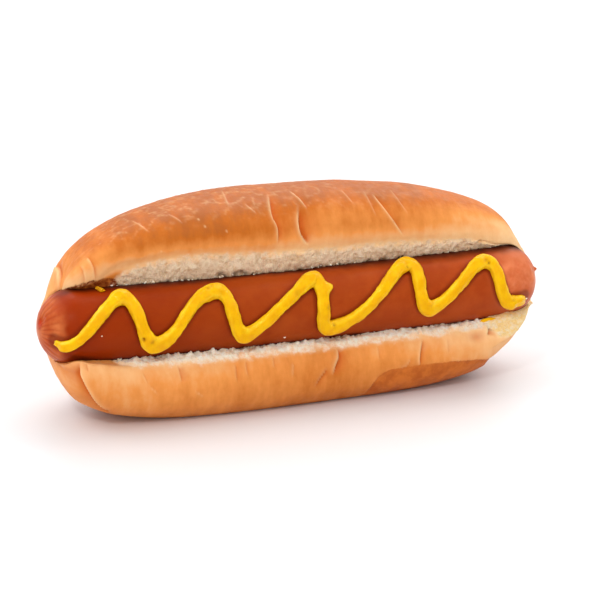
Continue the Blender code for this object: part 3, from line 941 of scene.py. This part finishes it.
# ---- mustard
BEAD_RINGS = 900
BEAD_SIDES = 28
BEAD_SINK = 0.3 * MM  # into the skin, so that no gap shows
TURN_FULLNESS = 0.30  # how much fuller the bead is where it turns back
TURN_REACH = 0.2
DOWN_FULLNESS = 0.05  # and where it comes down
CREST_DIP = 0.07  # how far the crest is sunk between its two edges
BEAD_STREAKS = 0.22  # height of the fine streaks drawn along the bead
PIT_SHADE = 1.5  # how dark the painted shade in a hole is for each millimetre of its depth
START_RINGS, END_RINGS = 50, 12  # over which the bead grows from its start and ends
START_FULLNESS = 0.75
# Lumps, folds and holes in the bead: x, angle, reach, and rise, which is below 0 for a hole.
BEAD_MARKS = (
    (7.4, 41, 0.5, 1), (7.8, 36.5, 0.55, 2),
    (6.9, 49, 0.4, -0.5), (6.4, 12, 0.8, -0.3),
    (5.6, 0, 0.8, 0.35), (7.7, -6, 0.7, -0.3),
    (-50, -4, 0.55, -1.1), (-48, -2, 0.8, 0.7), (-46.4, -6, 0.8, 0.6),
    (-47.4, -8, 0.5, -0.5), (-45, -9, 0.7, 0.3), (-49.5, -12, 0.8, 0.3),
    (-29.8, 44, 1.1, 0.5), (-29, 51, 0.5, -0.9), (-27.9, 53, 0.5, -0.8),
    (-26.8, 52, 0.9, 0.4), (-31.2, 38, 1, 0.3),
    (-0.6, 44, 1.3, 0.5), (1.4, 54, 1.2, 0.45), (-2.6, 34, 1, -0.25),
    (6.6, -12, 0.7, 0.6), (8, -10, 0.5, -0.4),
    (32.6, 57, 0.4, -0.7), (32.9, 51, 0.4, -0.7), (33, 46, 0.4, -0.6),
    (31.4, 52, 0.9, 0.3), (34.4, 54, 1, 0.4),
    (37.6, 1, 0.55, 1.1), (38.6, -2, 0.6, 0.5), (36.2, 8, 0.8, 0.25),
    (57.6, 47, 0.5, -0.8), (58.4, 43, 0.4, -0.6), (56.2, 46, 0.9, 0.35),
    (60, 46, 0.9, 0.3),
    (66.4, -12, 0.7, 0.5), (68, -9, 0.5, 0.6), (65.2, -8, 0.5, -0.4),
    (-18.8, -6, 0.7, 0.6), (-20.2, -12, 0.8, 0.3), (-54.8, 52, 1, 0.3),
)


def bead_route(count):
    """The nozzle's places, angles and turns passed, at even steps along its way."""
    t = np.linspace(0, 1, 24, endpoint=False)
    rows = []
    for k, (start, end) in enumerate(zip(BEAD_TURNS, BEAD_TURNS[1:])):
        x, angle, upright, early = start
        swing = ease(t)
        swing = swing + early * swing * (1 - swing)
        place = x + (end[0] - x) * (t + upright * np.sin(2 * math.pi * t) / (2 * math.pi))
        rows.append(np.column_stack([place, angle + (end[1] - angle) * swing, k + t]))
    rows.append([(*BEAD_TURNS[-1][:2], len(BEAD_TURNS) - 1)])
    rows = np.vstack(rows)
    flat = np.column_stack([rows[:, 0], np.radians(rows[:, 1]) * SAUSAGE_RADIUS / MM])
    along = np.concatenate([[0.0], np.cumsum(np.linalg.norm(np.diff(flat, axis=0), axis=1))])
    places = np.linspace(0, along[-1], count)
    x, angle, turns = [np.interp(places, along, column) for column in rows.T]
    return x * MM, angle, turns


def bead_frame(x, angle):
    """Where the bead sits at each step, and its directions out of the skin and sideways."""
    seat = round_the_sausage(x, angle, sausage_radius(x) - BEAD_SINK)
    forward = np.gradient(seat, axis=0)
    window = np.ones(13) / 13
    forward = np.column_stack([np.convolve(np.pad(column, 6, "edge"), window, "valid")
                               for column in forward.T])
    turn = np.radians(angle)
    further = x + 0.01 * MM
    slope = round_the_sausage(further, angle, sausage_radius(further) - BEAD_SINK) - seat
    slope /= np.linalg.norm(slope, axis=1)[:, None]
    up = np.cross(slope, np.column_stack([np.zeros(len(turn)), np.sin(turn), np.cos(turn)]))
    side = np.cross(up, forward)
    side /= np.linalg.norm(side, axis=1)[:, None]
    return seat, up, side


def read_flow(piece):
    """A place for each vertex that changes quickly round the bead and slowly along it."""
    turn = 2 * math.pi * read(piece, "flow_round")
    return np.column_stack([read(piece, "flow") * 70.0, np.cos(turn) * 2.2, np.sin(turn) * 2.2])


def bead_size(seat, turns):
    """The bead's width and height at each step: rounded tips, full turns, and a slight wobble."""
    steps = np.arange(BEAD_RINGS + 1)
    start = np.clip(steps / START_RINGS, 0, 1) ** 0.6
    end = np.clip((BEAD_RINGS - steps) / END_RINGS, 0, 1)
    thin_start = START_FULLNESS + (1 - START_FULLNESS) * start
    tip = np.sqrt(1 - (1 - start) ** 2) * thin_start * np.sqrt(1 - (1 - end) ** 2)
    fuller = 1 + TURN_FULLNESS * (gauss(turns - np.rint(turns), TURN_REACH) - 0.4)
    coming_down = (np.floor(turns) % 2 == 0) & (turns > 2)
    fuller = fuller + DOWN_FULLNESS * coming_down * np.sin(math.pi * turns) ** 2
    wobble = fuller * (1 + 0.07 * bumps(seat, 4 * MM, 2, shift=41))
    return BEAD_WIDTH * tip * wobble, (BEAD_HEIGHT + BEAD_SINK) * tip * wobble


def mark_bead(piece):
    """Raises the streaks, lumps and folds, sinks the holes and paints shade in them."""
    places = corners(piece)
    off_skin = ease(read(piece, "lift") / 0.25)
    rise = bumps(places, 2.2 * MM, 2, shift=44) * 0.12
    rise += bumps(read_flow(piece), 1.0, 2, shift=47) * BEAD_STREAKS
    pit = np.zeros(len(places))
    for *mark, reach, height in BEAD_MARKS:
        core, wider = (0.9, 0.0) if height < 0 else (0.6, 0.5)
        off = millimetres_off(places, on_the_skin(*mark, BEAD_HEIGHT * core))
        near = gauss(off, reach + wider)
        rise += height * near
        pit += PIT_SHADE * near * max(-height, 0.0)
    places += outward(piece) * (rise * off_skin * MM)[:, None]
    move_corners(piece, places)
    paint(piece, pit=pit)


def make_mustard():
    piece, along, around = sheet("mustard_bead", BEAD_RINGS, BEAD_SIDES)
    ring = np.rint(along * BEAD_RINGS).astype(int)
    x, angle, turns = bead_route(BEAD_RINGS + 1)
    seat, up, side = bead_frame(x, angle)
    width, height = bead_size(seat, turns)
    phi = around * 2 * math.pi
    across = 0.5 * np.sign(np.cos(phi)) * np.abs(np.cos(phi)) ** 0.9
    lift = np.clip(0.40 + 0.60 * np.sin(phi), 0.0, 1.0)
    crest = CREST_DIP * gauss(phi - math.pi / 2, 0.5)
    places = (seat[ring] + side[ring] * (across * width[ring])[:, None]
              + up[ring] * ((lift - crest) * height[ring])[:, None])
    move_corners(piece, places)
    paint(piece, lift=lift, flow=along, flow_round=around)
    weld(piece, 0.01 * MM)
    mark_bead(piece)
    return finish(piece, "mustard_sauce")


# ---- tufts of crumb, loose crumbs and smears
LOWER_TUFTS = 260
UPPER_TUFTS = 60
TUFT_RANGE = (-56, 64)  # millimetres along the bun
TUFT_SIZE = (0.25, 0.55)
UPPER_TUFT_SIZE = 0.8  # how much smaller the upper ones are
LOWER_TUFTS_OFF = (1, 6.5)  # degrees from where the bread meets the sausage
UPPER_TUFTS_OFF = (-0.5, 2.5)
# Loose crumbs on the sausage: x, angle, size.
LOOSE_CRUMBS = ((-6, -32, 0.3), (-61.5, 2, 0.22), (71.2, -20, 0.3))
# Smears of mustard on the crumb and skin: x, angle, length, width, lean, height off the skin.
SMEARS = ((58.7, -44.5, 5.4, 1.3, 5, 1.25), (-59.4, 78.5, 3, 1.3, -16, 0.35))
DULL_SMEAR = 0.45  # how far the left one is dulled by crumb


def ball(detail):
    """A round ball one metre in radius, to be copied and shaped."""
    deselect_all()
    bpy.ops.mesh.primitive_ico_sphere_add(subdivisions=detail, radius=1.0)
    return bpy.context.object


def lump(model, name, place, size, stretch, aim, roughness):
    """A copy of a ball made into an irregular lump at a place, drawn out along a direction."""
    piece = model.copy()
    piece.data = model.data.copy()
    bpy.context.collection.objects.link(piece)
    piece.name = name
    places = corners(piece)
    spiky = 1 + roughness * bumps(places + np.array(place) / MM * 3.1, 0.8, 2, shift=51)
    shaped = places * spiky[:, None] * np.array(stretch) * size * MM
    turned = np.array(Vector(aim).to_track_quat("X", "Z").to_matrix())
    move_corners(piece, shaped @ turned.T + np.array(place))
    return piece


def make_tufts():
    """Torn crumb that stands up where the bread meets the sausage, and a few loose crumbs."""
    chance = random.Random(SEED)
    model = ball(2)
    pieces = []
    for k in range(LOWER_TUFTS + UPPER_TUFTS):
        lower = k < LOWER_TUFTS
        x = chance.uniform(*TUFT_RANGE)
        low, _, high = [float(v) for v in rows_at(CONTACT, x / TIP_PLACE)]
        size = chance.uniform(*TUFT_SIZE) * (1.0 if lower else UPPER_TUFT_SIZE)
        off = chance.uniform(*(LOWER_TUFTS_OFF if lower else UPPER_TUFTS_OFF))
        angle = (low if lower else high) + off
        place = on_the_skin(x, angle, chance.uniform(0.0, 0.5) * MM)
        aim = Vector((chance.uniform(-1, 1), chance.uniform(-0.8, 0), chance.uniform(0.1, 1.0)))
        stretch = (chance.uniform(1.0, 2.0), 1.0, chance.uniform(0.6, 0.9))
        pieces.append(lump(model, "tuft", place, size, stretch, aim, 0.5))
    for x, angle, size in LOOSE_CRUMBS:
        pieces.append(lump(model, "crumb", on_the_skin(x, angle, 0.2 * size * MM), size,
                           (1.2, 1.0, 0.8), (1, 0.3, 0.2), 0.5))
    bpy.data.objects.remove(model)
    return finish(join("crumb_tufts", pieces), "torn_crumb")


def make_smears():
    model = ball(4)
    pieces = []
    for x, angle, length, width, lean, height in SMEARS:
        radius = sausage_radius(x * MM) + height * MM
        start = Vector(round_the_sausage(x * MM, angle, radius))
        ahead = Vector(round_the_sausage((x + 1) * MM, angle + lean / length, radius))
        pieces.append(lump(model, "smear", start, 1.0, (length / 2, width / 2, width / 2),
                           ahead - start, 0.35))
    bpy.data.objects.remove(model)
    piece = join("mustard_smears", pieces)
    x = corners(piece)[:, 0]
    paint(piece, lift=np.ones(len(x)), pit=np.where(x < 0, DULL_SMEAR, 0.0))
    return finish(piece, "thin_mustard")


# ---- colours, as red, green and blue up to 255
# The crust's from deep golden brown to pale, and the skin's from the left end to the right.
CRUST = ((0, (166, 88, 32)), (0.18, (194, 102, 24)), (0.5, (234, 148, 72)), (1, (255, 212, 156)))
SKIN = ((0, (154, 44, 0)), (0.2, (152, 52, 4)), (0.45, (170, 70, 18)), (1, (180, 74, 26)))
# Painted shade in the crust's dents and hollows, and painted highlight on its ridges.
CRUST_DENT_SHADE = (200, 90, 12)
CRUST_RIDGE_HIGHLIGHT = (255, 220, 165)
CRUST_RIM = (255, 222, 168)  # where the crust is cut thin, next to the crumb
BASE = (186, 92, 26), (210, 114, 40)
BURNT = (128, 52, 12)
BUTTER = (255, 216, 146)
# The crumb painted lit, as on the lower band, and painted shaded, as on the upper band.
CRUMB_PAINTED_LIT = (255, 229, 197), (255, 247, 231)
CRUMB_PAINTED_SHADED = (222, 186, 146), (246, 220, 188)
# Painted shade in the crumb's holes and along its edge by the sausage.
CRUMB_HOLE_SHADE = (84, 44, 22)
SKIN_PATCH = (140, 40, 4)
LEFT_CAP_SKIN = (184, 78, 34), (206, 112, 62)
RIGHT_CAP_SKIN = (204, 98, 54), (226, 130, 84)
# Painted shade in the skin's folds and in the ring round the knot.
SKIN_FOLD_SHADE = (150, 44, 12)
SKIN_KNOT = (190, 52, 6)
# Painted shade on the skin beside the mustard.
SKIN_SHADE_BY_SAUCE = (104, 28, 4)
# Painted shade on the skin under and above the crumb.
SKIN_SHADE_UNDER_BREAD = (52, 13, 5)
MUSTARD = (236, 168, 0), (244, 186, 0)
# Painted highlight along the bead's edges.
MUSTARD_EDGE_HIGHLIGHT = (255, 214, 40)
# Painted shade, with a deeper colour, at the bead's foot.
MUSTARD_FOOT_SHADE = (188, 104, 0)
# Painted shade in the bead's holes, which also dulls the left smear.
MUSTARD_HOLE_SHADE_AND_DULL = (140, 72, 0)
TABLE_WHITE = (0.77, 0.76, 0.77, 1)


# ---- materials
def linear(colour):
    """A colour as the eye sees it, from 0 to 255, as the shader takes it."""
    return tuple((c / 255 / 12.92 if c < 11 else ((c / 255 + 0.055) / 1.055) ** 2.4)
                 for c in colour) + (1.0,)


def add(tree, kind, inputs=(), **settings):
    """A node with its settings, and its inputs joined to sockets or set to values."""
    made = tree.nodes.new("ShaderNode" + kind)
    for key, value in settings.items():
        setattr(made, key, value)
    for key, value in dict(inputs).items():
        if isinstance(value, bpy.types.NodeSocket):
            tree.links.new(value, made.inputs[key])
        else:
            made.inputs[key].default_value = value
    return made


# Each of these puts its node into the tree that its first argument, a socket, belongs to.
def blend(share, first, second):
    """One colour over another by a share. Each is a socket, or red, green and blue."""
    first, second = (colour if isinstance(colour, bpy.types.NodeSocket) else linear(colour)
                     for colour in (first, second))
    return add(share.id_data, "Mix", {0: share, 6: first, 7: second},
               data_type="RGBA").outputs[2]


def blend_values(share, first, second):
    return add(share.id_data, "Mix", {0: share, 2: first, 3: second},
               data_type="FLOAT").outputs[0]


def arithmetic(operation, first, second, clamp=False):
    made = add(first.id_data, "Math", {0: first, 1: second}, operation=operation,
               use_clamp=clamp)
    return made.outputs[0]


def plus(first, second, clamp=False):
    return arithmetic("ADD", first, second, clamp)


def times(first, second, clamp=False):
    return arithmetic("MULTIPLY", first, second, clamp)


def remap(value, low, high, start=0.0, end=1.0, smooth=True):
    """Turns a value between low and high into one between start and end, and holds it there."""
    kind = "SMOOTHSTEP" if smooth else "LINEAR"
    return add(value.id_data, "MapRange", {"Value": value, "From Min": low, "From Max": high,
                                           "To Min": start, "To Max": end},
               interpolation_type=kind).outputs["Result"]


def ramp(share, stops):
    """The colour at a share from 0 to 1 between stops of share and colour."""
    made = add(share.id_data, "ValToRGB", {"Fac": share})
    elements = made.color_ramp.elements
    elements[0].color, elements[1].color = linear(stops[0][1]), linear(stops[-1][1])
    for place, colour in stops[1:-1]:
        elements.new(place).color = linear(colour)
    return made.outputs["Color"]


def painted(tree, name):
    return add(tree, "Attribute", attribute_name=name).outputs["Fac"]


def start_group(name, inputs, outputs):
    """An empty node group, its inputs' sockets and its outputs' sockets, by name and kind."""
    group = bpy.data.node_groups.new(name, "ShaderNodeTree")
    for sockets, way in ((inputs, "INPUT"), (outputs, "OUTPUT")):
        for socket, kind in sockets.items():
            group.interface.new_socket(socket, in_out=way, socket_type="NodeSocket" + kind)
    return (group, group.nodes.new("NodeGroupInput").outputs,
            group.nodes.new("NodeGroupOutput").inputs)


def mottle_group():
    """A soft patchy mask: lumps of one size with finer ones inside, sharpened by a contrast."""
    group, given, made = start_group("mottle", {"Vector": "Vector", "Scale": "Float",
                                                "Detail": "Float", "Low": "Float",
                                                "High": "Float"}, {"Mask": "Float"})
    lumps = add(group, "TexNoise", {"Vector": given["Vector"], "Scale": given["Scale"],
                                    "Detail": given["Detail"], "Roughness": 0.6})
    mask = remap(lumps.outputs["Fac"], given["Low"], given["High"])
    group.links.new(mask, made["Mask"])
    return group


MOTTLE = mottle_group()


def mottle(vector, scale, detail=4.0, low=0.35, high=0.65):
    return add(vector.id_data, "Group", {"Vector": vector, "Scale": scale, "Detail": detail,
                                         "Low": low, "High": high},
               node_tree=MOTTLE).outputs["Mask"]


def crumb_group():
    """The soft inside of the bread: a pale colour with darker pores, painted lit or shaded by a
    share, and its relief.
    """
    group, given, made = start_group("bread_crumb", {"Vector": "Vector", "Shaded": "Float"},
                                     {"Color": "Color", "Relief": "Float"})
    flecks = mottle(given["Vector"], 700, 5, 0.3, 0.6)
    fine = mottle(given["Vector"], 1900, 4)
    colour = blend(given["Shaded"], blend(flecks, *CRUMB_PAINTED_LIT), blend(flecks, *CRUMB_PAINTED_SHADED))
    group.links.new(colour, made["Color"])
    group.links.new(plus(times(flecks, 0.7), fine), made["Relief"])
    return group


CRUMB = crumb_group()


def crumb_look(place, shaded):
    made = add(place.id_data, "Group", {"Vector": place, "Shaded": shaded}, node_tree=CRUMB)
    return made.outputs["Color"], made.outputs["Relief"]


def start_material(name, **plain):
    """A material's tree, its shader and its object coordinates, with plain values set."""
    material = bpy.data.materials[name]
    material.use_nodes = True
    tree = material.node_tree
    shader = tree.nodes["Principled BSDF"]
    for key, value in plain.items():
        shader.inputs[key.replace("_", " ")].default_value = value
    return tree, shader, add(tree, "TexCoord").outputs["Object"]


def surface(tree, shader, colour, relief, strength, depth, rough=None):
    """Joins a colour, a relief of this many millimetres and a roughness to the shader."""
    tree.links.new(colour, shader.inputs["Base Color"])
    if rough:
        tree.links.new(rough, shader.inputs["Roughness"])
    bump = add(tree, "Bump", {"Height": relief, "Strength": strength, "Distance": depth * MM})
    tree.links.new(bump.outputs["Normal"], shader.inputs["Normal"])


def cut_off(tree, name, lumps, waver, soft):
    """A mask past a painted line, which wavers by this many millimetres and blurs by these."""
    shift = times(plus(lumps, -0.5), waver * 2 / LINE_REACH)
    way = plus(painted(tree, name), shift)
    return remap(way, 0.5 - soft / LINE_REACH, 0.5 + soft / LINE_REACH)


def crust_colour(tree, skin, place):
    round_ways = add(tree, "Mapping", {"Vector": skin, "Scale": (1.0, 0.3, 1.0)}).outputs[0]
    bands = mottle(round_ways, 26, 3, 0.25, 0.75)
    blotches = mottle(place, 320, 4, 0.25, 0.75)
    uneven = plus(times(bands, 0.14), times(blotches, 0.07))
    pale = plus(painted(tree, "pale"), plus(uneven, -0.105), clamp=True)
    # Painted shade in dents and hollows.
    deep = times(painted(tree, "hollow"), 0.95, clamp=True)
    shaded = blend(deep, ramp(pale, CRUST), CRUST_DENT_SHADE)
    # Painted highlight on ridges and wrinkles, and the pale specks.
    crest = times(painted(tree, "ridge"), 0.85, clamp=True)
    return blend(crest, shaded, CRUST_RIDGE_HIGHLIGHT)


def dress_bread():
    tree, shader, place = start_material("bread", Specular_IOR_Level=0.22,
                                         Specular_Tint=(1.0, 0.9, 0.7, 1.0),
                                         Subsurface_Weight=0.06, Subsurface_Scale=1.5 * MM)
    skin = add(tree, "UVMap", uv_map="skin").outputs["UV"]
    lumps = mottle(place, 900, 3, 0.2, 0.8)
    base = blend(mottle(place, 240, 4), *BASE)
    based = blend(cut_off(tree, "into_base", lumps, 0.3, 0.3),
                  crust_colour(tree, skin, place), base)
    rim = times(remap(painted(tree, "into_crumb"), 0.2, 0.5), 0.32)
    rimmed = blend(rim, based, CRUST_RIM)
    # The upper band's crumb faces down and is painted shaded; the lower band's is painted lit.
    soft, relief = crumb_look(place, painted(tree, "upper"))
    butter = times(painted(tree, "torn_end"), plus(lumps, 0.35), clamp=True)
    buttery = blend(butter, soft, BUTTER)
    # Painted shade in the crumb's holes and along its edge by the sausage.
    pitted = blend(painted(tree, "hollow"), buttery, CRUMB_HOLE_SHADE)
    in_crumb = cut_off(tree, "into_crumb", mottle(place, 420, 4, 0.2, 0.8), 1.2, 1.6)
    bread = blend(in_crumb, rimmed, pitted)
    scorched = times(painted(tree, "scorched"), plus(lumps, 0.3), clamp=True)
    colour = blend(scorched, bread, BURNT)

    rough = remap(mottle(place, 500, 3), 0.0, 1.0, 0.42, 0.54, smooth=False)
    slanted = add(tree, "Mapping", {"Vector": skin, "Rotation": (0, 0, math.radians(22)),
                                    "Scale": (1.0, 0.2, 1.0)}).outputs[0]
    streaks = mottle(slanted, 90, 4, 0.3, 0.8)
    pores = mottle(place, 1300, 3)
    crust_relief = plus(times(pores, 0.12), times(streaks, 0.2))
    surface(tree, shader, colour, blend_values(in_crumb, crust_relief, relief),
            strength=0.7, depth=0.25, rough=blend_values(in_crumb, rough, 0.95))


def dress_torn_crumb():
    tree, shader, place = start_material("torn_crumb", Specular_IOR_Level=0.1, Roughness=0.95,
                                         Subsurface_Weight=0.1, Subsurface_Scale=1.5 * MM)
    # The tufts are painted a little shaded.
    surface(tree, shader, *crumb_look(place, 0.2), strength=0.4, depth=0.15)


def dress_sausage():
    tree, shader, place = start_material("sausage_skin", Specular_IOR_Level=0.10,
                                         Specular_Tint=(1.0, 0.8, 0.6, 1.0),
                                         Subsurface_Weight=0.08, Subsurface_Scale=2 * MM)
    patches = mottle(place, 120, 4)
    fine = mottle(place, 420, 3)
    colour = ramp(painted(tree, "along"), SKIN)
    # Over the skin's own colours: painted shade in the folds, beside the mustard and under the
    # crumb.
    for share, other in ((times(patches, 0.35), SKIN_PATCH),
                         (painted(tree, "left_cap"), blend(patches, *LEFT_CAP_SKIN)),
                         (painted(tree, "right_cap"), blend(patches, *RIGHT_CAP_SKIN)),
                         (times(painted(tree, "fold"), 0.85), SKIN_FOLD_SHADE),
                         (painted(tree, "knot"), SKIN_KNOT),
                         (times(painted(tree, "beside_sauce"), 0.6), SKIN_SHADE_BY_SAUCE),
                         (times(painted(tree, "under_bread"), 0.93), SKIN_SHADE_UNDER_BREAD)):
        colour = blend(share, colour, other)
    rough = remap(fine, 0.0, 1.0, 0.3, 0.42, smooth=False)
    surface(tree, shader, colour, plus(fine, times(patches, 2.0)),
            strength=0.2, depth=0.1, rough=rough)


def dress_mustard(name):
    tree, shader, place = start_material(name, Specular_IOR_Level=0.4,
                                         Specular_Tint=(1.0, 0.85, 0.2, 1.0),
                                         Subsurface_Weight=0.08, Subsurface_Scale=1.0 * MM)
    patches = mottle(place, 260, 4)
    lift = painted(tree, "lift")
    # Painted highlight along both edges of the bead.
    edges = remap(lift, 0.72, 0.96, 1.0, 0.0)
    pale = times(edges, plus(times(patches, 0.2), 0.35))
    # Painted shade, with a deeper colour, at the bead's foot.
    foot_shade = remap(lift, 0.12, 0.34, 0.7, 0.0, smooth=False)
    colour = blend(patches, *MUSTARD)
    # Then painted shade in the holes, which also dulls the left smear.
    for share, other in ((pale, MUSTARD_EDGE_HIGHLIGHT), (foot_shade, MUSTARD_FOOT_SHADE),
                         (times(painted(tree, "pit"), 0.9), MUSTARD_HOLE_SHADE_AND_DULL)):
        colour = blend(share, colour, other)
    rough = remap(patches, 0.0, 1.0, 0.13, 0.22, smooth=False)
    surface(tree, shader, colour, mottle(place, 600, 3),
            strength=0.15, depth=0.15, rough=rough)


# ---- studio
CAMERA_TURN = -19.5  # degrees round from the open side
CAMERA_HEIGHT = 18.0  # degrees above the ground
CAMERA_DISTANCE = 0.75
CAMERA_LENS = 152.1
FLOOR_SIZE = 6.0
ROOM_LIGHT = 0.42
ROOM_SHEEN = 0.85  # how bright the room is in the reflections
CAMERA_AIM = Vector((2.2 * MM, SAUSAGE_BACKSET, 28.9 * MM))
# Round lamps: degrees round from the open side and up, distance, size and power.
SOFTBOXES = (
    ("front", -20, 45, 1.2, 1.8, 3.6), ("small", -40, 45, 1, 0.12, 1.7),
    ("low", -10, 20, 1.2, 1.4, 1.2), ("left", -100, 45, 1.2, 1.2, 3.9),
    ("right", 70, 45, 1.2, 1.4, 3.6), ("back_right", 138, 52, 1.2, 1.2, 8.8),
    ("back_left", -144, 52, 1.2, 1.2, 5.4),
)


def direction(turn, height):
    turn, height = math.radians(turn), math.radians(height)
    return Vector((math.sin(turn) * math.cos(height), -math.cos(turn) * math.cos(height),
                   math.sin(height)))


def aim_at(thing, target):
    thing.rotation_euler = (target - thing.location).to_track_quat("-Z", "Y").to_euler()


def softbox(name, turn, height, distance, size, power):
    deselect_all()
    bpy.ops.object.light_add(type="AREA", location=CAMERA_AIM + direction(turn, height) * distance)
    lamp = bpy.context.object
    lamp.name = name + "_softbox"
    lamp.data.shape = "DISK"
    lamp.data.size = size
    lamp.data.energy = power
    aim_at(lamp, CAMERA_AIM)


def set_up_studio():
    deselect_all()
    bpy.ops.object.camera_add(location=CAMERA_AIM + direction(CAMERA_TURN, CAMERA_HEIGHT)
                              * CAMERA_DISTANCE)
    camera = bpy.context.object
    camera.data.lens = CAMERA_LENS
    camera.data.clip_start = 0.01
    aim_at(camera, CAMERA_AIM)
    bpy.context.scene.camera = camera

    bpy.ops.mesh.primitive_plane_add(size=FLOOR_SIZE, location=(0, 0, -0.1 * MM))
    floor = bpy.context.object
    floor.name = "floor"
    floor.data.materials.append(bpy.data.materials.new("white_table"))
    start_material("white_table", Base_Color=TABLE_WHITE, Roughness=0.35, Specular_IOR_Level=0.5)

    world = bpy.data.worlds.new("studio")
    bpy.context.scene.world = world
    world.use_nodes = True
    background = world.node_tree.nodes["Background"]
    background.inputs["Color"].default_value = (1, 1, 1, 1)
    rays = add(world.node_tree, "LightPath").outputs
    mirrored = times(rays["Is Glossy Ray"], ROOM_SHEEN)
    seen = arithmetic("MAXIMUM", rays["Is Camera Ray"], mirrored)
    strength = arithmetic("MAXIMUM", seen, ROOM_LIGHT)
    world.node_tree.links.new(strength, background.inputs["Strength"])
    for row in SOFTBOXES:
        softbox(*row)
    bpy.context.scene.view_settings.view_transform = "Standard"


# ---- putting it together
def stand_for(piece, node):
    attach(piece, "root")
    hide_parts(node)


bun = make_bun()
sculpt_bun(bun)
sausage = make_sausage()
mustard = make_mustard()
tufts = make_tufts()
smears = make_smears()
dress_bread()
dress_torn_crumb()
dress_sausage()
dress_mustard("mustard_sauce")
dress_mustard("thin_mustard")
stand_for(bun, "bun")
stand_for(sausage, "sausage")
stand_for(mustard, "mustard")
for piece, slot in ((tufts, "bun"), (smears, "mustard")):
    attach(piece, "root")
set_up_studio()
